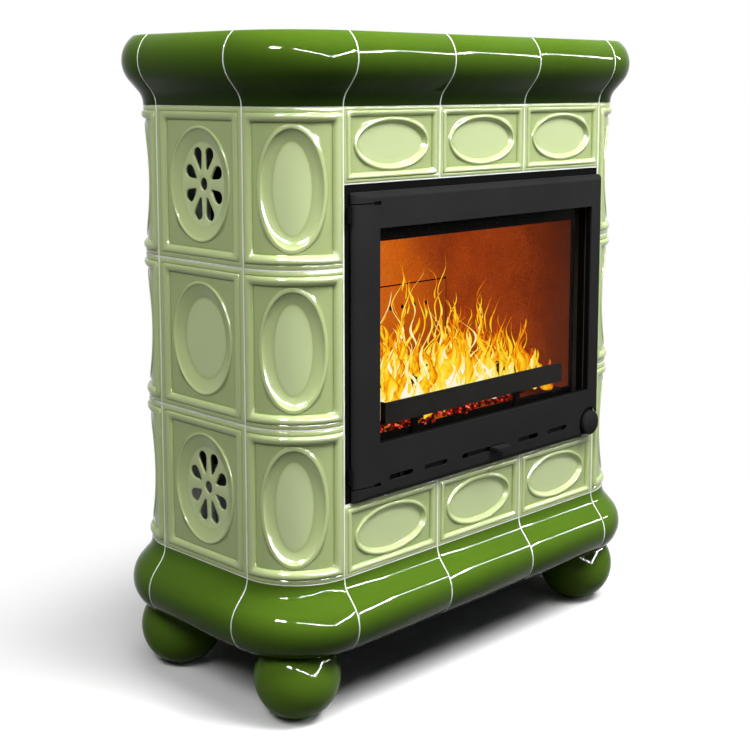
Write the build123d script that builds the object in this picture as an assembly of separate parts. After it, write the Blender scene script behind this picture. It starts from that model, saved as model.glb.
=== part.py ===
from build123d import *
import math
import os

# Tiled stove: a glazed ceramic cladding round a steel and refractory fireplace insert.
# Millimetres. +X is to the right, +Y to the back, +Z up. The origin lies on the floor, under
# the middle of the body. The glass door faces -Y.

# ---- Driving sizes of the cladding ----
tile_pitch = 220.0  # one flat tile and one joint, along a side
row_pitch = 250.5  # one tile row and one joint
strip_pitch = 119.5  # one row of landscape strip tiles and one joint
row_count = 3
front_count = 3  # flat tiles across the front
joint = 2.0  # width of the filled joints
joint_recess = 1.0  # the filler stays this far behind the glaze
corner_radius = 111.0  # quarter-round corner tiles
plate = 16.0  # thickness of a tile's face plate
collar_depth = 26.0  # hollow collar behind each flat tile
collar_wall = 8.0
collar_inset = 15.0
panel_sink = 3.0  # sunk panel inside the raised frame
frame_width = 22.0
dish_sink = 9.0  # floor of the oval dish under the tile face
side_dish = (149.0, 182.0)
side_floor_share = 0.72  # size of the dish floor over that of its mouth
strip_dish = (164.0, 79.0)
strip_floor_share = 0.87
strip_frame = 20.0
corner_dish = (110.0, 191.0)
corner_groove = (18.0, 4.0)  # margin and width of the grooves along the upper and lower edge

# Vent rosette: teardrop holes round a hub hole
petal_count = 8
petal_tip = (21.0, 24.0)  # half axes of the oval on which the pointed ends lie
petal_end = (39.0, 53.0)  # half axes of the oval on which the round ends are centred
petal_end_radius = 9.0
hub_hole = (16.0, 19.0)

# How finely round outlines are stepped, which keeps the solids light
oval_sides = 18
corner_oval_sides = 12
petal_steps = 3
hub_sides = 10
nose_steps = 4
cove_steps = 2
ball_steps = 6
ball_sides = 20
quarter_steps = 5
join_limit = 0.001
cover_steps = 4

# Moulding of the cornice and, upside down, of the plinth
mould_height = 114.5
mould_nose_radius = 52.0
mould_nose_reach = 34.5  # overhang of the nose over the tile face
mould_nose_level = 73.0
mould_cove_radius = 36.0
mould_wall = 12.0
mould_flange = 28.0  # how far the flat flange runs in behind the tile face

# Ball feet
ball_radius = 71.5
ball_sink = 2.0  # depth of the flat that the ball rests on
foot_offset = 44.0  # foot centre, outwards from the centre of the corner arc
base_level = 121.5  # underside of the plinth
base_plate = 4.0
base_reach = 8.0  # the base plate runs out this far past the tile face, under the plinth

# ---- Places worked out from the cladding ----
half_front = front_count * tile_pitch / 2
half_side = tile_pitch / 2
half_width = half_front + corner_radius
half_depth = half_side + corner_radius
tile_base = base_level + mould_height
tile_top = tile_base + row_count * row_pitch
cornice_top = tile_top + mould_height
face_y = -half_depth
opening_low = tile_base + strip_pitch
opening_high = tile_top - strip_pitch
tile_height = row_pitch - joint
tile_width = tile_pitch - joint
strip_height = strip_pitch - joint

# ---- Driving sizes of the carcass ----
angle_leg = 30.0
angle_wall = 3.0
top_plate = 3.0
top_slot = (120.0, 8.0)
top_slot_gap = 18.0
top_slot_rows = 2
top_slot_x = 238.0
rear_sheet = 2.0
rear_recess = 12.0
rear_fold = 14.0
louvre = (90.0, 7.0)
louvre_columns = 4
louvre_rows = 2
louvre_pitch = (130.0, 18.0)

# ---- Driving sizes of the insert ----
sheet = 4.0  # welded steel of the firebox
insert_gap = 1.0  # round the front frame, beside the joints
flange_recess = 2.0  # front of the frame, behind the tile face
flange_plate = 4.0
tunnel_wall = 4.0
tunnel_left = -306.0
tunnel_right = 318.0
tunnel_low = 368.0
tunnel_high = 846.0
land_y = -187.0  # sealing land on the firebox front
box_half_width = 327.0
box_rear = 158.0
box_low = 358.0
box_high = 880.0
fire_left = -285.0
fire_right = 300.0
fire_low = 447.0
fire_high = 768.0
liner = 20.0
liner_gap = 0.3
liner_base = 415.0
liner_floor_top = 440.0
liner_top = 800.0
rear_lower_top = 626.0  # joint line across the rear wall
rear_upper_setback = 6.0
baffle_plate = 20.0
baffle_front = -110.0
flue_radius = 75.0
flue_wall = 2.5
flue_y = 30.0
flue_hole_gap = 5.0
flue_top_gap = 4.0
grate_size = (250.0, 170.0)
grate_plate = 12.0
grate_bar = 9.0
grate_slot = 8.0
grate_ledge = 8.0
grate_y = -30.0
pan_size = (236.0, 240.0, 42.0)
pan_wall = 2.0
pan_gap = 1.5
pan_front_gap = 3.0
retainer_x = (-219.5, 254.5)
retainer_z = (466.0, 502.0)
retainer_y = -203.0
retainer_depth = 12.0
retainer_sheet = 3.0
retainer_clip = 7.0
support_x = 136.0
support_width = 16.0
support_sheet = 4.0

# ---- Driving sizes of the door ----
door_left = -317.0
door_right = 328.0
door_low = 356.5
door_high = 854.5
door_front = -233.0
cover_depth = 11.0  # depth of the pressed cover, and the size of its top and bottom rolls
cover_sheet = 3.0
left_roll = 41.0
right_roll = 5.0
window_left = -262.0
window_right = 297.0
window_low = 447.0
window_high = 796.0
relief_low = 380.0  # level of the lower corner cut
relief_high = 836.0
relief_line = 2.5
relief_end = (16.0, 6.0)
slot_height = 9.0
slot_length = 57.0
slot_gap = 27.5
middle_gap = 38.0
slot_level = 387.0
slot_middle = (-61.5, 52.0)
door_plate_rear = -220.5
lip_outer = (-300.0, 314.0, 415.0, 830.0)
lip_wall = 8.0
lip_rear = -197.0
glass_size = (-278.0, 304.0, 437.0, 806.0)
glass_thick = 4.0
gasket_thick = 2.5
rim_gap = 1.5
gasket_width = 6.5
rope_width = 6.0
rope_groove = 3.0
rope_gap = 0.5
clip_plate = 2.0
clip_width = 18.0
clip_reach = 9.0
clip_count = 3
channel_height = 32.0  # channel in which the air shutter slides
channel_ledge = 4.0
channel_depth = 2.6
plenum_depth = 4.0
shutter_gap = 0.3
shutter_sheet = 2.0
port_count = 4
port_length = 50.0
port_pitch = 110.0
port_left = -200.0
port_height = 14.0
shutter_travel = 56.0
shutter_margin = 8.0
lever_width = 36.0
lever_thick = 5.0
lever_reach = 19.0
lever_gap = 3.0
knob_x = 302.0
knob_z = 383.0
knob_radius = 23.0
knob_thick = 9.0
knob_dome = 3.0
knob_chamfer = 2.0
knob_seat_gap = 0.5
notch_radius = 30.0
spindle_radius = 5.0
spindle_fit = 0.05
boss_radius = 14.0
cam_length = 22.0
cam_width = 12.0
cam_plate = 5.0
cam_gap = 0.6
hinge_x = -322.0
hinge_y = -225.0
knuckle_radius = 4.4
knuckle_height = 20.0
pin_radius = 2.5
pin_fit = 0.05
eye_height = 5.0
hinge_gap = 0.4
hinge_levels = (395.0, 812.0)


def block(x0, x1, y0, y1, z0, z1):
    """A rectangular solid between six planes."""
    size = (x1 - x0, y1 - y0, z1 - z0)
    return Pos((x0 + x1) / 2, (y0 + y1) / 2, (z0 + z1) / 2) * Box(*size)


def rod(radius, x, y, z0, z1):
    """An upright cylinder."""
    return Pos(x, y, (z0 + z1) / 2) * Cylinder(radius, z1 - z0)


def rod_y(radius, x, z, y0, y1):
    """A cylinder along Y."""
    return Pos(x, (y0 + y1) / 2, z) * Rot(90, 0, 0) * Cylinder(radius, y1 - y0)


def arc_points(centre, radii, start, end, steps):
    """Points on an arc or an oval between two angles in degrees, ends included."""
    angles = [math.radians(start + (end - start) * index / steps) for index in range(steps + 1)]
    return [(centre[0] + radii[0] * math.cos(a), centre[1] + radii[1] * math.sin(a)) for a in angles]


def polygon(points):
    return make_face(Polyline(*points, close=True))


def stepped_oval(size, sides):
    """An oval outline with its two axes given, as a face."""
    return polygon(arc_points((0, 0), (size[0] / 2, size[1] / 2), 0, 360, sides)[:-1])


def stepped_turn(outline, sweep, steps):
    """Turns an outline of (radius, height) points about Z, from the X axis on, in flat steps."""
    rows = []
    for index in range(steps + 1):
        angle = math.radians(sweep * index / steps)
        rows.append([Vector(r * math.cos(angle), r * math.sin(angle), z) for r, z in outline])
    faces = []
    for row, following in zip(rows, rows[1:]):
        for index in range(len(outline)):
            loop = [row[index - 1], row[index], following[index], following[index - 1]]
            corners = [corner for place, corner in enumerate(loop) if (corner - loop[place - 1]).length > join_limit]
            if len(corners) > 2:
                faces.append(Face(Wire.make_polygon(corners)))
    if sweep < 360:
        faces += [Face(Wire.make_polygon(rows[0])), Face(Wire.make_polygon(rows[-1]))]
    return Solid(Shell(faces))


def rounded_plan(reach):
    """The plan of the cladding, moved outwards by reach, its corners in flat steps."""
    radii = (corner_radius + reach, corner_radius + reach)
    points = []
    for side, end, start in ((1, 1, 0), (-1, 1, 90), (-1, -1, 180), (1, -1, 270)):
        points += arc_points((side * half_front, end * half_side), radii, start, start + 90, quarter_steps)
    return polygon(points)


def ring(outer, inner, z0, z1):
    """A band that follows the plan between two reaches."""
    band = rounded_plan(outer) - rounded_plan(inner)
    return extrude(Pos(0, 0, z0) * band, z1 - z0)


def sector(radius, height):
    """A quarter disc in +X +Y with a stepped rim."""
    return extrude(polygon([(0, 0)] + arc_points((0, 0), (radius, radius), 0, 90, quarter_steps)), height)


def at_corner(shape, side, end):
    """Turns a piece made in the +X +Y quadrant to the corner at side X and end Y."""
    turn = {(1, 1): 0, (-1, 1): 90, (-1, -1): 180, (1, -1): 270}[(side, end)]
    return Pos(side * half_front, end * half_side) * Rot(0, 0, turn) * shape


# ---- Mouldings ----
def mould_glaze(recess):
    """The visible line of the moulding from the tile up: a cove, a slope and a round nose."""
    cove = Vector(mould_cove_radius, 0)
    nose = Vector(mould_nose_reach - mould_nose_radius, mould_nose_level)
    span = nose - cove
    lean = math.degrees(math.atan2(span.Y, span.X))
    lean += math.degrees(math.acos((mould_cove_radius + mould_nose_radius) / span.length))
    rise = math.degrees(math.asin((mould_height - mould_nose_level) / mould_nose_radius))
    cove_radii = (mould_cove_radius, mould_cove_radius)
    nose_radii = (mould_nose_radius, mould_nose_radius)
    points = arc_points((cove.X - recess, 0), cove_radii, 180, lean, cove_steps)
    return points + arc_points((nose.X - recess, nose.Y), nose_radii, lean - 180, rise, nose_steps)


def mould_outline():
    """Closed section of a moulding piece, outwards and up from the tile face."""
    reach = mould_nose_radius - mould_wall
    nose_x = mould_nose_reach - mould_nose_radius
    rise = math.degrees(math.asin((mould_height - mould_wall - mould_nose_level) / reach))
    hollow = arc_points((nose_x, mould_nose_level), (reach, reach), rise, -rise / 2, 2)
    top = [(-mould_flange, mould_height), (-mould_flange, mould_height - mould_wall)]
    return mould_glaze(0) + top + hollow + [(-mould_wall, 0)]


def mould_run(length):
    """A straight moulding piece centred on X, its glaze facing -Y, standing on Z = 0."""
    section = Plane(origin=(length / 2, 0, 0), x_dir=(0, -1, 0), z_dir=(-1, 0, 0)) * polygon(mould_outline())
    return extrude(section, length)


def mould_corner():
    """A quarter-round moulding piece in the +X +Y quadrant."""
    turned = stepped_turn([(corner_radius + x, y) for x, y in mould_outline()], 90, quarter_steps)
    size = 2 * (corner_radius + mould_nose_reach)
    keep = Box(size, size, mould_height, align=(Align.MIN, Align.MIN, Align.MIN))
    return turned & Pos(joint / 2, joint / 2, 0) * keep


def trimmed(piece):
    """Takes half a joint off the end that meets the tiles."""
    size = 2 * (half_width + half_depth)
    return piece & Pos(0, 0, joint / 2) * Box(size, size, size, align=(Align.CENTER, Align.CENTER, Align.MIN))


def as_cornice(piece):
    return Pos(0, 0, tile_top) * trimmed(piece)


def as_plinth(piece):
    return Pos(0, 0, tile_base) * mirror(trimmed(piece), Plane.XY)


def on_side(piece, side):
    """Turns a piece made facing -Y to face the left (-1) or the right (1)."""
    return Pos(side * half_width, 0, 0) * Rot(0, 0, side * 90) * piece


def on_front(piece, column):
    return Pos((column - (front_count - 1) / 2) * tile_pitch, -half_depth, 0) * piece


def on_rear(piece, column):
    return Rot(0, 0, 180) * on_front(piece, column)


# ---- Tiles, made facing -Y with their foot on Z = 0 ----
facing = Plane(origin=(0, 0, 0), x_dir=(1, 0, 0), z_dir=(0, -1, 0))


def collar(width, height):
    """The hollow collar behind a flat tile, with which it is built in."""
    outer = Rectangle(width - 2 * collar_inset, height - 2 * collar_inset)
    inner = offset(outer, -collar_wall)
    return extrude(facing.offset(-plate) * (outer - inner), -collar_depth)


def petal(angle):
    """One teardrop hole of the rosette, from its pointed tip round its outer end."""
    tip = (petal_tip[0] * math.cos(angle), petal_tip[1] * math.sin(angle))
    end = (petal_end[0] * math.cos(angle), petal_end[1] * math.sin(angle))
    away = math.degrees(math.atan2(end[1] - tip[1], end[0] - tip[0]))
    lean = math.degrees(math.asin(petal_end_radius / math.dist(tip, end)))
    radii = (petal_end_radius, petal_end_radius)
    return polygon([tip] + arc_points(end, radii, away - 90 - lean, away + 90 + lean, petal_steps))


def rosette():
    """The holes of a vent tile, as cutting tools."""
    step = 2 * math.pi / petal_count
    holes = [petal((index + 0.5) * step) for index in range(petal_count)]
    holes.append(stepped_oval(hub_hole, hub_sides))
    return [extrude(facing * hole, -plate) for hole in holes]


def oval_dish(mouth, floor_share):
    """The hollow of an oval dish, from its mouth in the panel down a sloping wall to its floor."""
    rows = []
    for depth, share in ((panel_sink, 1), (dish_sink, floor_share)):
        outline = arc_points((0, 0), (mouth[0] / 2 * share, mouth[1] / 2 * share), 0, 360, oval_sides)[:-1]
        rows.append([Vector(x, depth, z) for x, z in outline])
    faces = [Face(Wire.make_polygon(row)) for row in rows]
    for index in range(oval_sides):
        loop = [rows[0][index - 1], rows[0][index], rows[1][index], rows[1][index - 1]]
        faces.append(Face(Wire.make_polygon(loop)))
    return Solid(Shell(faces))


def flat_tile(height, frame, dish, floor_share, vented=False):
    """A flat tile: a raised frame, a sunk panel and an oval dish with sloping walls."""
    body = block(-tile_width / 2, tile_width / 2, 0, plate, -height / 2, height / 2)
    side = tile_width / 2 - frame
    edge = height / 2 - frame
    body -= block(-side, side, 0, panel_sink, -edge, edge)
    body -= oval_dish(dish, floor_share)
    body += collar(tile_width, height)
    if vented:
        for hole in rosette():
            body -= hole
    return Pos(0, 0, height / 2) * body


def corner_tile():
    """A quarter-round tile in the +X +Y quadrant, with its dish on the diagonal."""
    inner = corner_radius - plate
    start = joint / 2
    middle = inner * math.sqrt(0.5)
    keep = Box(inner + plate, inner + plate, tile_height, align=(Align.MIN, Align.MIN, Align.MIN))
    hollow = extrude(polygon([(0, 0), (0, inner), (middle, middle), (inner, 0)]), tile_height)
    body = (sector(corner_radius, tile_height) - hollow) & Pos(start, start, 0) * keep
    margin, width = corner_groove
    groove = sector(corner_radius, width) - sector(corner_radius - panel_sink, width)
    for level in (margin, tile_height - margin - width):
        body -= Pos(0, 0, level) * groove
    diagonal = Plane(origin=(0, 0, tile_height / 2), x_dir=(-1, 1, 0), z_dir=(1, 1, 0))
    dish = extrude(diagonal * stepped_oval(corner_dish, corner_oval_sides), 2 * corner_radius)
    return body - (dish - sector(corner_radius - dish_sink, tile_height))


def on_row(piece, row):
    """Lifts a tile to its row, counted from the bottom."""
    return Pos(0, 0, tile_base + row * row_pitch + joint / 2) * piece


# ---- Feet ----
foot_rise = base_level - base_plate


def ball_foot():
    """A ball with a flat to stand on, cut off under the base plate."""
    centre = ball_radius - ball_sink
    low = -math.degrees(math.asin(centre / ball_radius))
    high = math.degrees(math.asin((foot_rise - centre) / ball_radius))
    side = arc_points((0, centre), (ball_radius, ball_radius), low, high, ball_steps)
    return stepped_turn(side + [(0, foot_rise), (0, 0)], 360, ball_sides)


def foot_place(side, end):
    return Pos(side * (half_front + foot_offset), end * (half_side + foot_offset), 0)


columns = {"front_left": (-1, -1), "front_right": (1, -1), "rear_left": (-1, 1), "rear_right": (1, 1)}


# ---- Carcass behind the cladding ----
def slot_row(size, count, pitch):
    """A centred row of straight slots, as a list of rectangles."""
    middle = (count - 1) / 2
    return [Pos((index - middle) * pitch, 0) * Rectangle(*size) for index in range(count)]


def floor_plate():
    """The steel plate under the plinth, open for air in the middle."""
    plan = rounded_plan(base_reach) - Rectangle(2 * half_front - 4 * angle_leg, 2 * half_side - angle_leg)
    return extrude(Pos(0, 0, foot_rise) * plan, base_plate)


def corner_upright():
    """An angle upright that stands in a corner column, from the base plate to the top plate."""
    leg = Rectangle(angle_leg, angle_leg, align=(Align.MIN, Align.MIN))
    notch = Pos(angle_wall, angle_wall) * Rectangle(angle_leg, angle_leg, align=(Align.MIN, Align.MIN))
    height = cornice_top - mould_wall - top_plate - base_level
    return Pos(0, 0, base_level) * extrude(leg - notch, height)


def convection_plate():
    """The steel top, with its flue hole and rows of convection slots on both sides."""
    level = cornice_top - mould_wall - top_plate
    plan = rounded_plan(-mould_flange + base_reach)
    plan -= Pos(0, flue_y) * Circle(flue_radius + flue_hole_gap)
    for side in (-1, 1):
        for row in range(-top_slot_rows, top_slot_rows + 1):
            plan -= Pos(side * top_slot_x, row * top_slot_gap) * Rectangle(*top_slot)
    return extrude(Pos(0, 0, level) * plan, top_plate)


def back_panel():
    """The folded steel sheet between the rear corner columns, with louvre slots."""
    half = half_front - joint / 2
    low = tile_base + joint / 2
    high = tile_top - joint / 2
    outer_y = half_depth - rear_recess
    panel = block(-half, half, outer_y - rear_fold, outer_y, low, high)
    panel -= block(-half + rear_sheet, half - rear_sheet, outer_y - rear_fold, outer_y - rear_sheet, low, high)
    middle = (low + high) / 2
    for level in (low + half_side, high - half_side):
        for row in range(louvre_rows):
            for cut in slot_row(louvre, louvre_columns, louvre_pitch[0]):
                place = Plane(origin=(0, outer_y, level + row * louvre_pitch[1]), x_dir=(1, 0, 0), z_dir=(0, 1, 0))
                panel -= extrude(place * cut, -rear_sheet)
    return panel


# ---- Joint filler ----
filler_depth = plate - 2 * joint_recess


def filler():
    """The filled joints: rings between the rows, uprights between the tiles, slices of moulding."""
    near = -joint_recess
    far = near - filler_depth
    levels = [tile_base + row * row_pitch for row in range(row_count + 1)]
    body = ring(near, far, levels[0] - joint / 2, levels[0] + joint / 2)
    gap = half_front + joint / 2
    deep = half_depth + 1
    for level in levels[1:]:
        band = ring(near, far, level - joint / 2, level + joint / 2)
        if level < levels[-1]:
            band -= block(-gap, gap, -deep, 0, level - joint, level + joint)
            band -= block(-gap, gap, 0, deep, level - joint, level + joint)
        body += band
    front = face_y + joint_recess
    for side in (-1, 1):
        x = side * half_front
        for low_y in (front, -front - filler_depth):
            body += block(x - joint / 2, x + joint / 2, low_y, low_y + filler_depth, tile_base, tile_top)
        edge = side * (half_width - joint_recess)
        inner_edge = edge - side * filler_depth
        for y in (-half_side, half_side):
            x_pair = sorted((edge, inner_edge))
            body += block(*x_pair, y - joint / 2, y + joint / 2, tile_base, tile_top)
    back = front + filler_depth
    for low, high, inner_level in (
        (tile_base, opening_low + joint / 2, opening_low),
        (opening_high - joint / 2, tile_top, opening_high),
    ):
        body += block(-gap, gap, front, back, inner_level - joint / 2, inner_level + joint / 2)
        for column in range(1, front_count):
            x = (column - front_count / 2) * tile_pitch
            body += block(x - joint / 2, x + joint / 2, front, back, low, high)
    return body


def mould_fillers(place):
    """The slices of filler between the moulding pieces of one ring."""
    under_top = mould_height - mould_wall
    back = [(-mould_flange, mould_height), (-mould_flange, under_top), (-mould_wall, under_top), (-mould_wall, 0)]
    section = polygon(mould_glaze(joint_recess) + back)
    outline = Plane(origin=(joint / 2, 0, 0), x_dir=(0, -1, 0), z_dir=(-1, 0, 0)) * section
    piece = place(extrude(outline, joint))
    slices = []
    for column in range(front_count + 1):
        x = (column - front_count / 2) * tile_pitch
        slices.append(Pos(x, -half_depth, 0) * piece)
        slices.append(Rot(0, 0, 180) * Pos(x, -half_depth, 0) * piece)
    for side in (-1, 1):
        for end in (-1, 1):
            slices.append(Pos(side * half_width, end * half_side, 0) * Rot(0, 0, side * 90) * piece)
    return slices


# ---- Fireplace insert ----
flange_y = face_y + flange_recess
flange_back = flange_y + flange_plate
flange_half = half_front - joint / 2 - insert_gap
flange_low = opening_low + joint / 2 + insert_gap
flange_high = opening_high - joint / 2 - insert_gap
box_inner = box_half_width - sheet
box_front_inner = land_y + sheet
chamber_half = box_inner - liner
chamber_rear = box_rear - sheet - liner
pan_low = tunnel_low + insert_gap
pan_top = pan_low + pan_size[2] - pan_front_gap
pan_front = land_y + pan_wall / 2
latch_sweep = cam_length + cam_gap


def front_frame():
    """The fixed steel frame: a flange between the tiles and a tunnel back to the firebox."""
    frame = block(-flange_half, flange_half, flange_y, flange_back, flange_low, flange_high)
    frame += block(
        tunnel_left - tunnel_wall, tunnel_right + tunnel_wall, flange_back, land_y,
        tunnel_low - tunnel_wall, tunnel_high + tunnel_wall,
    )
    frame -= block(tunnel_left, tunnel_right, flange_y, land_y, tunnel_low, tunnel_high)
    latch_window = block(
        tunnel_right, tunnel_right + tunnel_wall, flange_back, flange_back + cam_plate + 3 * cam_gap,
        knob_z - cam_width, knob_z + latch_sweep,
    )
    return frame - latch_window


def fire_box():
    """The welded firebox: walls, front with its openings, pan runners and the liner shelf."""
    box = block(-box_half_width, box_half_width, land_y, box_rear, box_low, box_high)
    box -= block(-box_inner, box_inner, box_front_inner, box_rear - sheet, box_low + sheet, box_high - sheet)
    shelf = block(-box_inner, box_inner, box_front_inner, box_rear - sheet, liner_base - sheet, liner_base)
    shelf -= grate_hole(liner_base - sheet, liner_base)
    runners = [
        block(x - sheet, x + sheet, box_front_inner, box_rear - sheet, box_low + sheet, pan_low)
        for x in (-pan_size[0] / 2 + 2 * sheet, pan_size[0] / 2 - 2 * sheet)
    ]
    for piece in [shelf] + runners:
        box += piece
    box -= block(fire_left, fire_right, land_y, box_front_inner, fire_low, fire_high)
    pan_half = pan_size[0] / 2 + pan_gap
    box -= block(-pan_half, pan_half, land_y, box_front_inner, pan_low, liner_base - sheet)
    box += rod(flue_radius, 0, flue_y, box_high - sheet, cornice_top - flue_top_gap)
    return box - rod(flue_radius - flue_wall, 0, flue_y, box_high - sheet, cornice_top - flue_top_gap)


def grate_hole(z0, z1):
    """The hole through which ash falls, smaller than the grate by its ledge."""
    half_x = grate_size[0] / 2 - grate_ledge
    half_y = grate_size[1] / 2 - grate_ledge
    return block(-half_x, half_x, grate_y - half_y, grate_y + half_y, z0, z1)


def floor_liner():
    """The refractory floor, rebated for the grate."""
    half = box_inner - liner_gap
    body = block(-half, half, box_front_inner + liner_gap, box_rear - sheet - liner_gap, liner_base, liner_floor_top)
    half_x = grate_size[0] / 2 + liner_gap
    half_y = grate_size[1] / 2 + liner_gap
    seat = liner_floor_top - grate_plate
    body -= block(-half_x, half_x, grate_y - half_y, grate_y + half_y, seat, liner_floor_top)
    return body - grate_hole(liner_base, seat)


def side_liner(side):
    """A refractory side panel, standing on the floor liner."""
    near = chamber_half
    far = box_inner - liner_gap
    x0, x1 = sorted((side * near, side * far))
    return block(x0, x1, box_front_inner + liner_gap, box_rear - sheet - liner_gap, liner_floor_top, liner_top)


def rear_liner_lower():
    """The lower rear panel."""
    half = chamber_half - liner_gap
    return block(-half, half, chamber_rear, chamber_rear + liner - liner_gap, liner_floor_top, rear_lower_top)


def rear_liner_upper():
    """The upper rear panel, set back a little from the lower one."""
    half = chamber_half - liner_gap
    front = chamber_rear + rear_upper_setback
    return block(-half, half, front, chamber_rear + liner - liner_gap, rear_lower_top, liner_top)


def baffle():
    """The smoke baffle, lying on the liners and open at the front."""
    half = box_inner - liner_gap
    back = box_rear - sheet - liner_gap
    return block(-half, half, baffle_front, back, liner_top, liner_top + baffle_plate)


def grate():
    """The cast grate, a plate with a row of slots."""
    seat = liner_floor_top - grate_plate
    half_x, half_y = grate_size[0] / 2, grate_size[1] / 2
    body = block(-half_x, half_x, grate_y - half_y, grate_y + half_y, seat, liner_floor_top)
    pitch = grate_bar + grate_slot
    count = int((grate_size[0] - 4 * grate_ledge) // pitch)
    for index in range(count):
        x = (index - (count - 1) / 2) * pitch
        cut_half = half_y - 2 * grate_ledge
        body -= block(
            x - grate_slot / 2, x + grate_slot / 2, grate_y - cut_half, grate_y + cut_half, seat, liner_floor_top
        )
    return body


def ash_pan():
    """The ash pan's tray: a floor and three walls, closed at the front by its own plate."""
    half = pan_size[0] / 2
    front = pan_front + pan_wall
    rear = pan_front + pan_size[1]
    tray = block(-half, half, front, rear, pan_low, pan_top)
    return tray - block(-half + pan_wall, half - pan_wall, front, rear - pan_wall, pan_low + pan_wall, pan_top)


def ash_pan_front():
    """The pan's front plate, with two air holes and a pull lip along its top edge."""
    half = pan_size[0] / 2
    pull = pan_size[2] / 2
    plate = block(-half, half, pan_front, pan_front + pan_wall, pan_low, pan_top)
    plate += block(-pull, pull, pan_front - 2 * pan_wall, pan_front, pan_top - pan_wall, pan_top)
    for side in (-1, 1):
        x = side * half / 2
        plate -= block(x - pull, x + pull, pan_front, pan_front + pan_wall, pan_low + pull / 2, pan_low + pull)
    return plate


def log_retainer():
    """The folded bar that holds the logs back, with returned ends and one clipped corner."""
    x0, x1 = retainer_x
    z0, z1 = retainer_z
    back = retainer_y + retainer_depth
    bar = block(x0, x1, retainer_y, back, z0, z1)
    bar -= block(x0 + retainer_sheet, x1 - retainer_sheet, retainer_y + retainer_sheet, back, z0, z1)
    corner = Polyline((x1, z1), (x1 - retainer_clip, z1), (x1, z1 - retainer_clip), close=True)
    clip = extrude(Plane(origin=(0, retainer_y, 0), x_dir=(1, 0, 0), z_dir=(0, -1, 0)) * make_face(corner), -retainer_depth)
    return bar - clip


def retainer_support(side):
    """A bracket on the firebox front that carries the retainer."""
    x0 = side * support_x - support_width / 2
    x1 = x0 + support_width
    low = retainer_z[0]
    foot = block(x0, x1, land_y - support_sheet, land_y, lip_outer[2] + lip_wall + retainer_sheet, low)
    shelf = block(x0, x1, retainer_y, land_y, low - support_sheet, low)
    return foot + shelf


def insert_stand():
    """The angle legs that carry the firebox on the base plate, with a flat bar over each pair."""
    legs = []
    outer = box_half_width - angle_wall
    for side in (-1, 1):
        for y in (land_y + angle_leg, box_rear - angle_leg):
            leg = Rectangle(angle_leg, angle_leg) - Pos(angle_wall, angle_wall) * Rectangle(angle_leg, angle_leg)
            place = Pos(side * (outer - angle_leg / 2), y, base_level) * Rot(0, 0, 90 if side > 0 else 0)
            legs.append(place * extrude(leg, box_low - sheet - base_level))
        x0, x1 = sorted((side * outer, side * (outer - angle_leg)))
        legs.append(block(x0, x1, land_y, box_rear, box_low - sheet, box_low))
    return legs


# ---- Door ----
door_inner = door_front + cover_sheet
cover_rear = door_front + cover_depth


def cover_form(inset):
    """The outside of the pressed cover: a wide roll on the hinge side, smaller rolls elsewhere."""
    left, right = door_left + inset, door_right - inset
    roll_x = door_left + left_roll
    depth = cover_depth - inset
    right_radius = right_roll - inset
    plan = arc_points((roll_x, cover_rear), (roll_x - left, depth), 180, 270, cover_steps)
    middle = (door_right - right_roll, door_front + right_roll)
    plan += arc_points(middle, (right_radius, right_radius), -90, 0, 2)
    plan.append((right, cover_rear))
    side = arc_points((cover_rear, door_low + cover_depth), (depth, depth), 270, 180, cover_steps)
    side += arc_points((cover_rear, door_high - cover_depth), (depth, depth), 180, 90, cover_steps)
    upright = extrude(Pos(0, 0, door_low) * polygon(plan), door_high - door_low)
    across = extrude(Plane.YZ.offset(door_left) * polygon(side), door_right - door_left)
    return upright & across


def knob_notch():
    """The corner round the knob that the cover leaves free."""
    body = rod_y(notch_radius, knob_x, knob_z, door_front, cover_rear)
    return body + block(knob_x, door_right, door_front, cover_rear, door_low, knob_z)


def front_slot(x0, x1):
    """A slot through the cover at the level of the rail."""
    return block(x0, x1, door_front, door_inner, slot_level - slot_height / 2, slot_level + slot_height / 2)


def corner_relief(level):
    """The cut that frees the wide roll from the corner above or below it."""
    roll_x = door_left + left_roll
    line = block(door_left, roll_x, door_front, cover_rear, level - relief_line / 2, level + relief_line / 2)
    half = relief_end[1] / 2
    end = block(roll_x, roll_x + relief_end[0], door_front, cover_rear, level - half, level + half)
    return line + end


def door_cover():
    """The pressed steel cover with its window, air slots, corner cuts and knob notch."""
    cover = cover_form(0) - cover_form(cover_sheet)
    cover -= block(window_left, window_right, door_front, door_inner, window_low, window_high)
    for level in (relief_low, relief_high):
        cover -= corner_relief(level)
    left, right = slot_middle
    cover -= front_slot(left, right)
    for step in range(2):
        near = middle_gap + step * (slot_length + slot_gap)
        cover -= front_slot(left - near - slot_length, left - near)
        cover -= front_slot(right + near, right + near + slot_length)
    for level in hinge_levels:
        cover -= block(
            door_left, door_left + 3 * cover_sheet, arm_front - hinge_gap, cover_rear,
            level - hinge_gap, level + knuckle_height + hinge_gap,
        )
    return cover - knob_notch()


arm_front = hinge_y + pin_radius / 2
arm_back = door_plate_rear
frame_left = door_left + left_roll
frame_right = door_right - 2 * right_roll
rim_margin = cover_sheet + rim_gap
ports = [port_left + index * port_pitch for index in range(port_count)]


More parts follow.
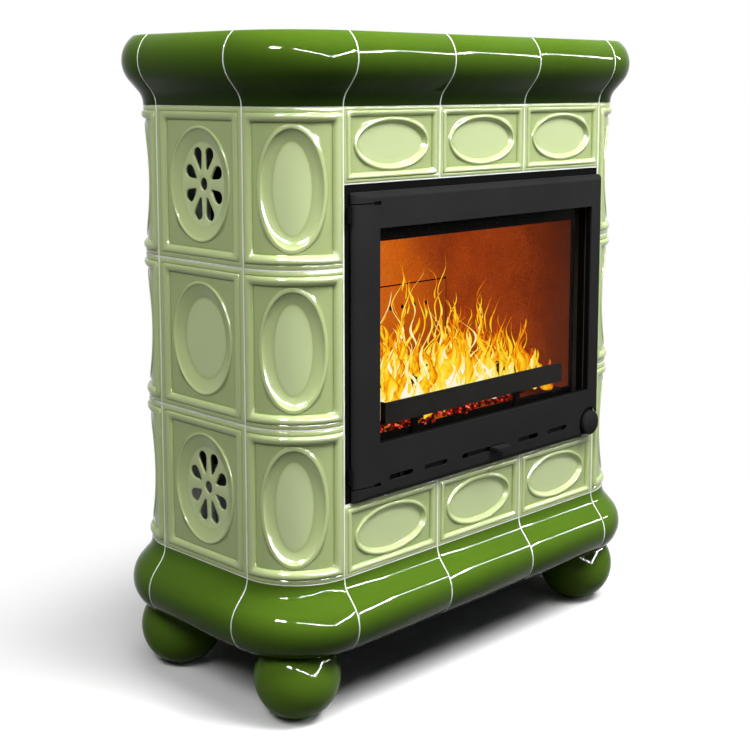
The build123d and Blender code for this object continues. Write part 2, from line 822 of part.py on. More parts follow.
def door_frame():
    """The structural frame behind the cover: plate, seal lip, shutter channel, boss and hinges."""
    low, high = door_low + cover_depth + 1, door_high - cover_depth - 1
    frame = block(frame_left, frame_right, door_inner, door_plate_rear, low, high)
    rim_front = door_plate_rear - gasket_thick
    rim_low, rim_high = door_low + rim_margin, door_high - rim_margin
    frame += block(door_left + 2 * cover_sheet, door_right - rim_margin, rim_front, door_plate_rear, rim_low, rim_high)
    x0, x1, z0, z1 = lip_outer
    lip = block(x0, x1, door_plate_rear, lip_rear, z0, z1)
    lip -= block(x0 + lip_wall, x1 - lip_wall, door_plate_rear, lip_rear, z0 + lip_wall, z1 - lip_wall)
    frame += lip
    frame -= rope_ring(lip_rear - rope_groove, lip_rear)
    frame -= block(window_left, window_right, door_inner, door_plate_rear, window_low, window_high)
    frame -= channel()
    for x in ports:
        frame -= block(
            x, x + port_length, door_inner, door_plate_rear, slot_level - port_height / 2, slot_level + port_height / 2
        )
    corner = block(knob_x, door_right, door_inner, door_plate_rear, door_low, knob_z)
    boss_back = flange_back - 2 * cam_gap
    boss = rod_y(boss_radius, knob_x, knob_z, door_inner, boss_back)
    frame = frame - corner + boss
    frame -= rod_y(spindle_radius + spindle_fit, knob_x, knob_z, door_inner, boss_back)
    half = clip_width / 4
    for x, z in clip_places():
        frame += block(x - 2 * half, x + 2 * half, door_plate_rear, clip_y, z - half, z + half)
    for level in hinge_levels:
        frame += block(hinge_x, door_left + 2 * cover_sheet, arm_front, arm_back, level, level + knuckle_height)
        frame += rod(knuckle_radius, hinge_x, hinge_y, level, level + knuckle_height)
        frame -= rod(pin_radius + pin_fit, hinge_x, hinge_y, level, level + knuckle_height)
    return frame


def rope_ring(y0, y1):
    """The path of the door seal along the lip, between two depths."""
    x0, x1, z0, z1 = lip_outer
    edge = (lip_wall - rope_width) / 2
    outer = block(x0 + edge, x1 - edge, y0, y1, z0 + edge, z1 - edge)
    inset = edge + rope_width
    return outer - block(x0 + inset, x1 - inset, y0, y1, z0 + inset, z1 - inset)


def channel():
    """The stepped channel of the rail: a plenum behind the slots and a slide for the shutter."""
    x0 = ports[0] - shutter_margin - shutter_travel - 1
    x1 = ports[-1] + port_length + shutter_travel + shutter_margin + 1
    half = channel_height / 2
    plenum_back = door_inner + plenum_depth
    plenum = block(
        x0, x1, door_inner, plenum_back, slot_level - half + channel_ledge, slot_level + half - channel_ledge
    )
    return plenum + block(x0, x1, plenum_back, plenum_back + channel_depth, slot_level - half, slot_level + half)


def air_shutter():
    """The sliding shutter: a plate with one window per port and the lever that pokes out in front."""
    y0 = door_inner + plenum_depth + shutter_gap
    y1 = y0 + shutter_sheet
    half = channel_height / 2 - shutter_gap
    x0 = ports[0] - shutter_margin
    x1 = ports[-1] + port_length + shutter_travel + shutter_margin
    plate_solid = block(x0, x1, y0, y1, slot_level - half, slot_level + half)
    for x in ports:
        plate_solid -= block(x, x + port_length, y0, y1, slot_level - port_height / 2, slot_level + port_height / 2)
    lever_right = slot_middle[1] - lever_gap
    lever_low = slot_level - lever_thick / 2
    tip = door_front - lever_reach
    lever = block(lever_right - lever_width, lever_right, tip, y1, lever_low, lever_low + lever_thick)
    rounded = lever.edges().filter_by(Axis.Z).group_by(Axis.Y)[0]
    return plate_solid + fillet(rounded, lever_thick)


glass_y = door_plate_rear + gasket_thick
clip_y = glass_y + glass_thick


def pane(x0, x1, z0, z1, y0, y1):
    return block(x0, x1, y0, y1, z0, z1)


def door_glass():
    return pane(*glass_size, glass_y, clip_y)


def glass_gasket():
    """The flat gasket between the glass and the frame."""
    x0, x1, z0, z1 = glass_size
    inner = pane(x0 + gasket_width, x1 - gasket_width, z0 + gasket_width, z1 - gasket_width, door_plate_rear, glass_y)
    return pane(x0, x1, z0, z1, door_plate_rear, glass_y) - inner


def clip_places():
    """Where the glass clips are fixed, over and under the glass."""
    x0, x1, z0, z1 = glass_size
    span = (x1 - x0) / clip_count
    away = clip_width / 4 + 1
    return [(x0 + (index + 0.5) * span, z) for index in range(clip_count) for z in (z0 - away, z1 + away)]


def glass_clips():
    """The spring plates that hold the glass, one at each screw."""
    middle = (glass_size[2] + glass_size[3]) / 2
    clips = []
    for x, z in clip_places():
        toward = clip_reach if z < middle else -clip_reach
        z0, z1 = sorted((z - math.copysign(clip_width / 4, toward), z + toward + math.copysign(1, toward)))
        clips.append(block(x - clip_width / 2, x + clip_width / 2, clip_y, clip_y + clip_plate, z0, z1))
    return clips


def latch_knob():
    """The drum knob, with a chamfered rim and a slightly domed face."""
    rear = door_inner - knob_seat_gap
    front = rear - knob_thick
    rim = knob_radius - knob_chamfer
    outline = [(0, rear), (knob_radius, rear), (knob_radius, front), (rim, front - knob_chamfer), (0, front - knob_dome)]
    return Pos(knob_x, 0, knob_z) * Rot(-90, 0, 0) * stepped_turn(outline, 360, ball_sides)


def latch_spindle():
    """The spindle through the boss, with the cam that turns in behind the flange."""
    rear = door_inner - knob_seat_gap
    cam_front = flange_back + cam_gap
    spindle = rod_y(spindle_radius, knob_x, knob_z, rear, cam_front + cam_plate)
    arm = SlotCenterToCenter(cam_length - cam_width / 2, cam_width)
    place = Plane(origin=(knob_x, cam_front, knob_z), x_dir=(0, 0, 1), z_dir=(0, 1, 0))
    return spindle + extrude(place * Pos((cam_length - cam_width / 2) / 2, 0) * arm, cam_plate)


def hinge_bracket(level):
    """A fixed hinge eye on the flange, with its pin standing in the door's knuckle."""
    top = level - hinge_gap
    low = top - eye_height
    eye = rod(knuckle_radius, hinge_x, hinge_y, low, top)
    eye += block(hinge_x - knuckle_radius, hinge_x + knuckle_radius, hinge_y, flange_y, low, top)
    return eye + rod(pin_radius, hinge_x, hinge_y, low, level + 0.75 * knuckle_height)


# ---- Nodes ----
sides = {"left": -1, "right": 1}
side_names = ("lower_vent", "middle_plain", "upper_vent")
one_corner = corner_tile()
vent_tile = flat_tile(tile_height, frame_width, side_dish, side_floor_share, vented=True)
plain_tile = flat_tile(tile_height, frame_width, side_dish, side_floor_share)
strip_tile = flat_tile(strip_height, strip_frame, strip_dish, strip_floor_share)
moulding = mould_run(tile_width)
moulding_corner = mould_corner()

nodes = {}
nodes["ball_feet"] = [foot_place(*where) * ball_foot() for where in columns.values()]
nodes["base_plate"] = [floor_plate()]

for part_name, raise_up in (("plinth", as_plinth), ("cornice", as_cornice)):
    corner_piece = raise_up(moulding_corner)
    run_piece = raise_up(moulding)
    nodes[part_name + "_corners"] = [at_corner(corner_piece, *where) for where in columns.values()]
    nodes[part_name + "_front"] = [on_front(run_piece, column) for column in range(front_count)]
    nodes[part_name + "_rear"] = [on_rear(run_piece, column) for column in range(front_count)]
    for name, side in sides.items():
        nodes[part_name + "_" + name] = [on_side(run_piece, side)]

for name, where in columns.items():
    nodes["corner_tiles_" + name] = [on_row(at_corner(one_corner, *where), row) for row in range(row_count)]
for name, side in sides.items():
    for row, kind in enumerate(side_names):
        tile = vent_tile if "vent" in kind else plain_tile
        nodes["tile_" + name + "_" + kind] = [on_row(on_side(tile, side), row)]
strip_levels = {"lower": tile_base + joint / 2, "upper": opening_high + joint / 2}
for name, level in strip_levels.items():
    nodes["strip_tiles_" + name] = [Pos(0, 0, level) * on_front(strip_tile, column) for column in range(front_count)]

joints_filled = filler()
for raise_up in (as_plinth, as_cornice):
    for piece in mould_fillers(raise_up):
        joints_filled += piece
nodes["joint_filler"] = [joints_filled]
nodes["corner_uprights"] = [at_corner(corner_upright(), *where) for where in columns.values()]
nodes["top_plate"] = [convection_plate()]
nodes["rear_panel"] = [back_panel()]

nodes["insert_stand"] = insert_stand()
nodes["fire_box"] = [fire_box()]
nodes["front_frame"] = [front_frame()]
nodes["liner_floor"] = [floor_liner()]
nodes["liner_left"] = [side_liner(-1)]
nodes["liner_right"] = [side_liner(1)]
nodes["liner_rear_lower"] = [rear_liner_lower()]
nodes["liner_rear_upper"] = [rear_liner_upper()]
nodes["smoke_baffle"] = [baffle()]
nodes["grate"] = [grate()]
nodes["ash_pan"] = [ash_pan()]
nodes["ash_pan_front"] = [ash_pan_front()]
nodes["log_retainer"] = [log_retainer()]
nodes["retainer_supports"] = [retainer_support(-1), retainer_support(1)]

nodes["door_cover"] = [door_cover()]
nodes["door_frame"] = [door_frame()]
nodes["door_glass"] = [door_glass()]
nodes["glass_gasket"] = [glass_gasket()]
nodes["glass_clips"] = glass_clips()
nodes["door_seal"] = [rope_ring(lip_rear - rope_groove, land_y - rope_gap)]
nodes["air_shutter"] = [air_shutter()]
nodes["latch_knob"] = [latch_knob()]
nodes["latch_spindle"] = [latch_spindle()]
nodes["hinge_brackets"] = [hinge_bracket(level) for level in hinge_levels]

os.makedirs("parts", exist_ok=True)
for name, pieces in nodes.items():
    solids = [solid for piece in pieces for solid in piece.solids()]
    export_step(solids[0] if len(solids) == 1 else Compound(solids), "parts/" + name + ".step")
print(len(nodes), "nodes")
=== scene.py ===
import math
import random

import bmesh
import bpy
from mathutils import Matrix, Vector, noise


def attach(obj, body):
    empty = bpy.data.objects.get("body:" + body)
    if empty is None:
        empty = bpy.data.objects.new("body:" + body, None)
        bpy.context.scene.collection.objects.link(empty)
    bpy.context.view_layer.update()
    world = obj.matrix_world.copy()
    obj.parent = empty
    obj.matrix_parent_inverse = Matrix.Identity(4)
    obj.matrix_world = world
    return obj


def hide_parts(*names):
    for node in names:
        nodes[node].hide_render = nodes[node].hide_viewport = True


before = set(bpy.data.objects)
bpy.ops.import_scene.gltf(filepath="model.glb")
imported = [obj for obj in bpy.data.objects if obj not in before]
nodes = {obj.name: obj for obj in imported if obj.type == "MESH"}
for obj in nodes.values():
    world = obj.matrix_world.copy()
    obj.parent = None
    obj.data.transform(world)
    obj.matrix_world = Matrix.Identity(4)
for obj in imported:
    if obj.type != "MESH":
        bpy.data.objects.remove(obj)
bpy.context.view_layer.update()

mm = 0.001


class Wire:
    # an output of a node, which can be added, subtracted and multiplied
    def __init__(self, finish, socket):
        self.finish = finish
        self.socket = socket

    def joined(self, operation, other):
        return self.finish.add("ShaderNodeMath", {0: self, 1: other}, operation=operation)

    def __add__(self, other):
        return self.joined("ADD", other)

    def __sub__(self, other):
        return self.joined("SUBTRACT", other)

    def __mul__(self, other):
        return self.joined("MULTIPLY", other)


class Finish:
    # one finish is one node tree, of a material or of the world
    def __init__(self, name, kind="materials"):
        self.owner = getattr(bpy.data, kind).new(name)
        self.owner.use_nodes = True
        self.tree = self.owner.node_tree
        self.tree.nodes.clear()

    def add(self, kind, inputs=None, output=0, **settings):
        made = self.tree.nodes.new(kind)
        for key, value in settings.items():
            setattr(made, key, value)
        for key, value in (inputs or {}).items():
            if isinstance(value, Wire):
                self.tree.links.new(value.socket, made.inputs[key])
            else:
                made.inputs[key].default_value = value
        return Wire(self, made.outputs[output]) if made.outputs else None

    def ramp(self, factor, stops):
        wire = self.add("ShaderNodeValToRGB", {"Fac": factor})
        elements = wire.socket.node.color_ramp.elements
        elements.remove(elements[0])
        elements[0].position = stops[0][0]
        elements[0].color = rgb(stops[0][1])
        for position, code in stops[1:]:
            elements.new(position).color = rgb(code)
        return wire

    def mixed(self, factor, first, second):
        return self.add("ShaderNodeMix", {0: factor, 6: first, 7: second}, 2, data_type="RGBA")

    def spot(self):
        return self.add("ShaderNodeTexCoord", output="Object")

    def stretched(self, scale):
        return self.add("ShaderNodeMapping", {"Vector": self.spot(), "Scale": scale})

    def away(self, centre, scale):
        # how far a point lies from the centre, with each axis at its own scale
        shift = self.add("ShaderNodeVectorMath", {0: self.spot(), 1: centre}, operation="SUBTRACT")
        flat = self.add("ShaderNodeVectorMath", {0: shift, 1: scale}, operation="MULTIPLY")
        return self.add("ShaderNodeVectorMath", {0: flat}, "Value", operation="LENGTH")

    def grain(self, place, scale, detail=3.0, roughness=0.55, distortion=0.0):
        inputs = {"Vector": place, "Scale": scale, "Detail": detail, "Roughness": roughness}
        return self.add("ShaderNodeTexNoise", {**inputs, "Distortion": distortion})

    def bump(self, height, strength, distance):
        return self.add("ShaderNodeBump", {"Height": height, "Strength": strength, "Distance": distance})

    def end(self, inputs):
        shader = self.add("ShaderNodeBsdfPrincipled", inputs)
        self.add("ShaderNodeOutputMaterial", {"Surface": shader})
        return self.owner


def rgb(code):
    # the colour that an rrggbb code stands for, as light
    parts = [int(code[i:i + 2], 16) / 255 for i in (0, 2, 4)]
    linear = [p / 12.92 if p <= 0.04045 else ((p + 0.055) / 1.055) ** 2.4 for p in parts]
    return (*linear, 1.0)


# Glazes
glazeLooks = {
    "paleGlaze": {
        # broad dishes painted lighter, crests, sunk panels, grooves where glaze pools and painted shade
        # falls, the painted shade of a hole
        "tones": ((0.05, "bdcb97"), (0.2, "b4c28a"), (0.38, "a2b178"), (0.6, "7f9450"), (1.0, "141a0a")),
        "clouding": 0.07, "fineness": 0.03, "waviness": 0.25, "roughness": 0.04, "haze": 0.05, "shine": 0.15,
        "cloudScale": 7.0, "speckScale": 90.0, "waveScale": 26.0,
    },
    "darkGlaze": {
        "tones": ((0.0, "6f8e2e"), (0.25, "4c6a19"), (0.55, "22350a"), (1.0, "0c1404")),
        "clouding": 0.1, "fineness": 0.03, "waviness": 0.3, "roughness": 0.03, "haze": 0.05, "shine": 0.022,
        "cloudScale": 5.0, "speckScale": 70.0, "waveScale": 17.0,
    },
}


def glaze(name, look):
    # the attribute says how thick the glaze lies, with painted shade and painted light mixed in, from 0 to
    # the painted shade of a hole's wall at 1
    finish = Finish(name)
    place = finish.spot()
    depth = finish.add("ShaderNodeAttribute", output="Fac", attribute_name="glazeAndShade")
    cloud = finish.grain(place, look["cloudScale"], 4.0)
    speck = finish.grain(place, look["speckScale"], 2.0)
    wave = finish.grain(place, look["waveScale"], 1.0)
    thick = depth + (cloud - 0.5) * look["clouding"] + (speck - 0.5) * look["fineness"]
    return finish.end({
        "Base Color": finish.ramp(thick, look["tones"]),
        "Roughness": cloud * look["haze"] + look["roughness"],
        "IOR": 1.5, "Specular IOR Level": look["shine"], "Normal": finish.bump(wave, look["waviness"], 0.001),
    })


# Matt finishes: mortar, heatproof paint, cast iron and soot
paintLook = {
    "fine": (900.0, 2.0), "broad": (9.0, 4.0), "broadShare": 1.0, "tones": ((0.3, "1d1d1d"), (0.7, "222222")),
    "roughness": 0.52, "unevenness": 0.16, "shine": 0.004, "bump": (0.25, 0.0002),
}
mattLooks = {
    "blackSteel": paintLook,
    # the same paint, painted darker for the parts inside, behind and under the stove: painted shade
    "boxSteel": dict(paintLook, tones=((0.3, "060606"), (0.7, "0b0b0b")), shine=0.002),
    "jointMortar": {
        "fine": (420.0, 3.0), "broad": (14.0, 3.0), "broadShare": 0.7, "roughness": 0.85, "shine": 0.02,
        "tones": ((0.25, "cfd5c6"), (0.55, "eef1ea")), "bump": (0.4, 0.0006),
    },
    "castIron": {
        "fine": (260.0, 4.0, 0.7), "tones": ((0.3, "17120f"), (0.7, "332a24")),
        "roughness": 0.8, "shine": 0.02, "bump": (0.7, 0.0008),
    },
    "soot": {
        "fine": (180.0, 3.0), "tones": ((0.3, "0b0503"), (0.7, "2a120a")),
        "roughness": 0.95, "shine": 0.0, "bump": (0.6, 0.0006),
    },
}


def matt(name, look):
    # the fine grain is felt as height, and the tone follows it or a broader one
    finish = Finish(name)
    place = finish.spot()
    fine = finish.grain(place, *look["fine"])
    broad = finish.grain(place, *look.get("broad", look["fine"]))
    share = look.get("broadShare", 0.0)
    return finish.end({
        "Base Color": finish.ramp(broad * share + fine * (1 - share), look["tones"]),
        "Roughness": fine * look.get("unevenness", 0.0) + look["roughness"],
        "Specular IOR Level": look["shine"], "Normal": finish.bump(fine, *look["bump"]),
    })


# Bare metal, rope and glass
bareLooks = {
    "sheetSteel": {"tones": ("8d9092", "b4b7b8"), "roughness": 0.38},
    "pinSteel": {"tones": ("6a6b6c", "9b9c9d"), "roughness": 0.3},
}


def bareSteel(name, look):
    finish = Finish(name)
    rolled = finish.grain(finish.stretched((3.0, 3.0, 160.0)), 5.0, 4.0)
    spangle = finish.grain(finish.spot(), 55.0, 2.0)
    tone = finish.mixed(rolled * 0.6 + spangle * 0.4, *[rgb(code) for code in look["tones"]])
    return finish.end({
        "Base Color": tone, "Metallic": 0.85, "Roughness": rolled * 0.12 + look["roughness"],
        "Normal": finish.bump(rolled, 0.1, 0.0003),
    })


ropeLook = {"tones": ("1d1c1a", "45433e"), "weave": 120.0}


def ropeCloth(name, look):
    finish = Finish(name)
    sockets = {"Vector": finish.spot(), "Scale": look["weave"]}
    weave = finish.add("ShaderNodeTexWave", sockets, "Fac", bands_direction="DIAGONAL")
    return finish.end({
        "Base Color": finish.mixed(weave, *[rgb(code) for code in look["tones"]]), "Roughness": 0.95,
        "Specular IOR Level": 0.0, "Normal": finish.bump(weave, 0.6, 0.001),
    })


glassLook = {"tint": (1.0, 0.99, 0.97, 1.0), "face": "0c0b0a", "mirror": 0.12}


def clearGlass(name, look):
    # what a thin pane does: lets nearly all through and mirrors a little at its face
    finish = Finish(name)
    smear = finish.grain(finish.spot(), 6.0, 3.0)
    mirror = finish.add("ShaderNodeFresnel", {"IOR": 1.25}) * look["mirror"]
    through = finish.add("ShaderNodeBsdfTransparent", {"Color": look["tint"]})
    face = {"Base Color": rgb(look["face"]), "Roughness": smear * 0.06 + 0.04, "IOR": 1.45}
    shine = finish.add("ShaderNodeBsdfPrincipled", face)
    both = finish.add("ShaderNodeMixShader", {0: mirror, 1: through, 2: shine})
    finish.add("ShaderNodeOutputMaterial", {"Surface": both})
    return finish.owner


# Linings: painted firelight: the plates are coloured lighter and glow, most near the middle of the fire
brickLook = {
    "centre": (-0.1, 0.12, 0.58), "falloff": (1.3, 1.8, 1.1), "glow": 0.6, "clouding": 0.5, "fineness": 0.35,
    "tones": ((0.0, "2c1208"), (0.3, "5c2a14"), (0.6, "94481a"), (1.0, "c97420")),
    "glowTones": ((0.0, "140502"), (0.22, "5e2410"), (0.45, "a8481a"), (0.7, "e2701a"), (1.0, "ffa63c")),
}
brickLooks = {
    "firebrick": brickLook,
    "floorBrick": dict(brickLook, centre=(-0.12, -0.05, 0.44), falloff=(2.4, 2.2, 5.0), glow=0.3),
}


def firebrick(name, look):
    finish = Finish(name)
    place = finish.spot()
    cloud = finish.grain(place, 5.0, 5.0, 0.6)
    fine = finish.grain(place, 240.0, 3.0, 0.7)
    blotches = (cloud - 0.5) * look["clouding"] + (fine - 0.5) * look["fineness"]
    # lighter and glowing nearer the middle of the fire: painted firelight
    firelight = blotches - finish.away(look["centre"], look["falloff"]) + 1.0
    return finish.end({
        "Base Color": finish.ramp(firelight, look["tones"]), "Roughness": 0.9, "Specular IOR Level": 0.0,
        "Emission Color": finish.ramp(firelight, look["glowTones"]), "Emission Strength": look["glow"],
        "Normal": finish.bump(fine, 0.5, 0.0006),
    })


# Fire: flames, embers and logs give their own light
flameTones = (
    (0.0, "b43a06"), (0.15, "e2700a"), (0.3, "f6a00e"), (0.46, "ffcc1a"), (0.64, "ffe440"), (0.82, "fff3a0"),
    (1.0, "fffbe4"),
)
emberTones = ((0.0, "120806"), (0.3, "6d1409"), (0.45, "e3341a"), (0.6, "ff7d5c"), (0.75, "ffd9cf"))
barkTones = ((0.3, "0d0805"), (0.6, "2e1a0c"), (0.8, "7a4414"))
barkGlow = ((0.62, "000000"), (0.7, "8a2a06"), (0.8, "e86a10"))


def flameLight(name):
    # heat falls from root to tip and from the middle of a tongue to its edges
    finish = Finish(name)
    firelight = finish.add("ShaderNodeAttribute", output="Fac", attribute_name="flameHeat")
    streak = finish.grain(finish.stretched((1.0, 1.0, 0.3)), 48.0, 3.0, 0.6, 1.6)
    return finish.end({
        "Base Color": rgb("000000"), "Roughness": 1.0, "Specular IOR Level": 0.0, "Emission Strength": 1.0,
        "Emission Color": finish.ramp(firelight + (streak - 0.5) * 1.2, flameTones),
    })


def emberLight(name):
    finish = Finish(name)
    place = finish.spot()
    cells = finish.add("ShaderNodeTexVoronoi", {"Vector": place, "Scale": 130.0})
    ash = finish.grain(place, 70.0, 4.0, 0.7)
    return finish.end({
        "Base Color": rgb("1a100c"), "Roughness": 0.95, "Specular IOR Level": 0.0,
        "Emission Color": finish.ramp(ash * 1.3 - cells * 0.9, emberTones), "Emission Strength": 0.9,
        "Normal": finish.bump(ash, 0.8, 0.002),
    })


def charredWood(name):
    finish = Finish(name)
    bark = finish.grain(finish.stretched((1.0, 6.0, 6.0)), 30.0, 4.0, 0.7)
    return finish.end({
        "Base Color": finish.ramp(bark, barkTones), "Roughness": 0.95, "Specular IOR Level": 0.0,
        "Emission Color": finish.ramp(bark, barkGlow), "Emission Strength": 0.7,
        "Normal": finish.bump(bark, 0.9, 0.003),
    })


finishes = {}
for makeFinish, looks in (
    (glaze, glazeLooks), (matt, mattLooks), (bareSteel, bareLooks), (firebrick, brickLooks),
    (ropeCloth, {"sealRope": ropeLook}), (clearGlass, {"stoveGlass": glassLook}),
):
    for title, settings in looks.items():
        finishes[title] = makeFinish(title, settings)
for makeFinish in (flameLight, emberLight, charredWood):
    finishes[makeFinish.__name__] = makeFinish(makeFinish.__name__)
print("finishes")


# Making and placing pieces
weldGap = 0.01 * mm  # points nearer than this are one point


def placed(name, mesh):
    made = bpy.data.objects.new(name, mesh)
    bpy.context.scene.collection.objects.link(made)
    return made


def meshFrom(bm, name):
    mesh = bpy.data.meshes.new(name)
    bm.to_mesh(mesh)
    bm.free()
    return mesh


def keep(bm, name, body, finish, replaced=(), sharpAngle=None, closed=True):
    bmesh.ops.remove_doubles(bm, verts=bm.verts, dist=weldGap)
    if closed:
        bmesh.ops.recalc_face_normals(bm, faces=bm.faces)
    mesh = meshFrom(bm, name)
    mesh.shade_smooth()
    if sharpAngle is not None:
        mesh.set_sharp_from_angle(angle=math.radians(sharpAngle))
    piece = placed(name, mesh)
    mesh.materials.append(finishes[finish])
    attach(piece, body)
    if replaced:
        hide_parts(*replaced)
    return piece


def applied(piece):
    # the mesh that the modifiers made takes the place of the old one
    graph = bpy.context.evaluated_depsgraph_get()
    made = bpy.data.meshes.new_from_object(piece.evaluated_get(graph))
    piece.modifiers.clear()
    old = piece.data
    piece.data = made
    made.name = piece.name
    bpy.data.meshes.remove(old)


def softened(piece, width, angle):
    soft = piece.modifiers.new("soften", "BEVEL")
    soft.width = width * mm
    soft.segments = 2
    soft.limit_method = "ANGLE"
    soft.angle_limit = math.radians(angle)


def vertexLayer(bm, name):
    return bm.verts.layers.float.get(name) or bm.verts.layers.float.new(name)


def wrappedSheet(bm, around, stations, place, layerName="glazeAndShade"):
    # a grid whose columns go round the form and whose rows are its stations
    rows = len(stations) - 1
    layer = vertexLayer(bm, layerName)
    made = bmesh.ops.create_grid(bm, x_segments=around, y_segments=rows, size=0.5)
    for vert in made["verts"]:
        column = round((vert.co.x + 0.5) * around) % around
        row = round((vert.co.y + 0.5) * rows)
        vert.co, vert[layer] = place(column / around, stations[row])


def between(first, last, share):
    return [a + (b - a) * share for a, b in zip(first, last)]


def roundTurn(share):
    angle = 2 * math.pi * share
    return math.cos(angle), math.sin(angle)


# The cladding's sizes in mm, which all tiles, mouldings and joints follow
cladding = {
    "pitch": 220.0, "rowPitch": 250.5, "stripPitch": 119.5, "joint": 2.0, "radius": 111.0,
    "halfFront": 330.0, "halfSide": 110.0, "base": 236.0, "rows": 3,
}
pitch, rowPitch, stripPitch, joint, radius, halfFront, halfSide, base, rowCount = cladding.values()
halfWidth = halfFront + radius
halfDepth = halfSide + radius
top = base + rowCount * rowPitch
columns = [column * pitch for column in (-1, 0, 1)]
corners = {  # side, end, turn about Z from the rear left corner
    "front_left": (-1, -1, 90), "front_right": (1, -1, 180),
    "rear_right": (1, 1, 270), "rear_left": (-1, 1, 0),
}
sides = {"left": (-1, 90), "right": (1, 270)}  # side, turn about Z from the rear

# What all tiles share. Each station round a tile is half its width and height, how far it stands
# out, how oval it is from 0 to 1, and its tone
tileRelief = {
    "back": -15.0, "groove": 1.1, "panel": -3.4, "arris": 1.5, "around": 128,
    "rollSteps": 12, "lipSteps": 8, "coveSteps": 12, "backTone": 0.6,
    # the rounded edge: how far in, height, tone, darker towards the joint as pooled glaze and painted shade
    "edge": ((0.0, -2.4, 0.6), (0.2, -1.3, 0.5), (0.7, -0.5, 0.35), (1.5, -0.08, 0.25)),
    # the margin up to the groove: share of its width, height, tone
    "margin": ((0.7, 0.0, 0.3), (0.9, -0.2, 0.42), (1.0, -1.1, 0.62)),
    # behind the roll: how far in, how far under the panel, tone
    "foot": ((1.2, 0.12, 0.5), (2.8, 0.0, 0.4)),
    # the panel and the floor of the dish: share of the way, tone; the dish floor is painted lighter than the
    # panel, as painted light
    "panelTones": ((0.35, 0.38), (0.8, 0.38), (1.0, 0.52)),
    "floorTones": ((0.975, 0.2), (0.92, 0.08), (0.8, 0.05), (0.55, 0.05), (0.3, 0.05), (0.0, 0.05)),
}


def rectangleOval(turn, halfWidth, halfHeight, roundness):
    # a point of a loop that is a rectangle at roundness 0 and an oval at 1
    across, up = roundTurn(turn)
    square = 1 / max(abs(across), abs(up))
    factor = square + (1 - square) * roundness
    return across * factor * halfWidth, up * factor * halfHeight


def frameStations(look, half):
    # from the middle of the back, round the edge, over the margin and the roll, to the sunk panel
    relief = tileRelief
    stations = [(*size, relief["back"], 0, relief["backTone"]) for size in ((0.0, 0.0), half)]
    for inset, height, tone in relief["edge"]:
        stations.append((half[0] - inset, half[1] - inset, height, 0, tone))
    wide, high = [size - relief["arris"] for size in half]
    (sideMargin, endMargin), (sideRoll, endRoll) = look["margins"], look["rolls"]
    for share, height, tone in relief["margin"]:
        stations.append((wide - sideMargin * share, high - endMargin * share, height, 0, tone))
    wide, high = wide - sideMargin, high - endMargin
    for step in range(1, relief["rollSteps"] + 1):
        turn = math.pi * step / relief["rollSteps"]
        along = (1 - math.cos(turn)) / 2
        fall = (relief["panel"] + relief["groove"]) * along ** 1.6
        height = fall - relief["groove"] + look["rise"] * math.sin(turn) ** 0.9
        # the roll is lighter on its crest and darker in its grooves: glaze that thins and pools, with painted
        # shade in the grooves
        tone = 0.62 - 0.42 * math.sin(turn) ** 0.5
        stations.append((wide - sideRoll * along, high - endRoll * along, height, 0, tone))
    wide, high = wide - sideRoll, high - endRoll
    for inset, sink, tone in relief["foot"]:
        stations.append((wide - inset, high - inset, relief["panel"] - sink, 0, tone))
    return stations


def dishStations(look, panelHalf):
    # over the panel to the rounded lip, down a flank between cone and quarter round, to the floor
    relief = tileRelief
    mouth, floor, depth = look["mouth"], look["floor"], look["depth"]
    lipWidth, lipRise = look["lip"]
    outer = [half + lipWidth / 2 for half in mouth]
    stations = []
    for share, tone in relief["panelTones"]:
        stations.append((*between(panelHalf, outer, share), relief["panel"], share, tone))
    for step in range(1, relief["lipSteps"] + 1):
        turn = math.radians(140) * step / relief["lipSteps"]
        shift = lipWidth / 2 * math.cos(turn)
        height = relief["panel"] + lipRise * math.sin(turn) ** 0.8
        stations.append((mouth[0] + shift, mouth[1] + shift, height, 1, 0.45 - 0.25 * math.sin(turn)))
    rim, rimHeight = stations[-1][:2], stations[-1][2]
    for step in range(1, relief["coveSteps"] + 1):
        turn = math.pi / 2 * step / relief["coveSteps"]
        share = 1 - math.cos(turn)
        fall = share + (math.sin(turn) - share) * look["roundness"]
        height = rimHeight + (depth - rimHeight) * fall
        stations.append((*between(rim, floor, share), height, 1, 0.28 + 0.12 * share ** 6))
    for share, tone in relief["floorTones"]:
        height = depth + look["crown"] * (1 - share ** 2)
        stations.append((floor[0] * share, floor[1] * share, height, 1, tone))
    return stations


def tileStations(look, half):
    stations = frameStations(look, half)
    return stations + dishStations(look, stations[-1][:2])


def flatSpot(centre, normal):
    right = Vector((-normal[1], normal[0], 0))

    def spot(across, up, height):
        return (Vector(centre) + right * across + Vector((0, 0, up)) + Vector(normal) * height) * mm
    return spot


def bentSpot(centre, middle):
    # the same tile bent round the quarter circle of a corner
    def spot(across, up, height):
        angle = middle + across / radius
        reach = radius + height
        return (Vector(centre) + Vector((math.cos(angle) * reach, math.sin(angle) * reach, up))) * mm
    return spot


def makeTile(bm, stations, spot):
    def place(turn, station):
        wide, high, height, roundness, tone = station
        return spot(*rectangleOval(turn, wide, high, roundness), height), tone
    wrappedSheet(bm, tileRelief["around"], stations, place)


def keepTile(bm, name, node):
    keep(bm, name, "stove", "paleGlaze", [node])


def rowCentre(row):
    return base + (row + 0.5) * rowPitch


# Corner tiles
cornerTileLook = {
    "margins": (1.2, 6.6), "rolls": (15.5, 14.6), "rise": 5.0, "mouth": (55.0, 95.5), "floor": (34.5, 73.0),
    "depth": -11.4, "crown": 0.9, "lip": (8.0, 1.2), "roundness": 0.6,
}


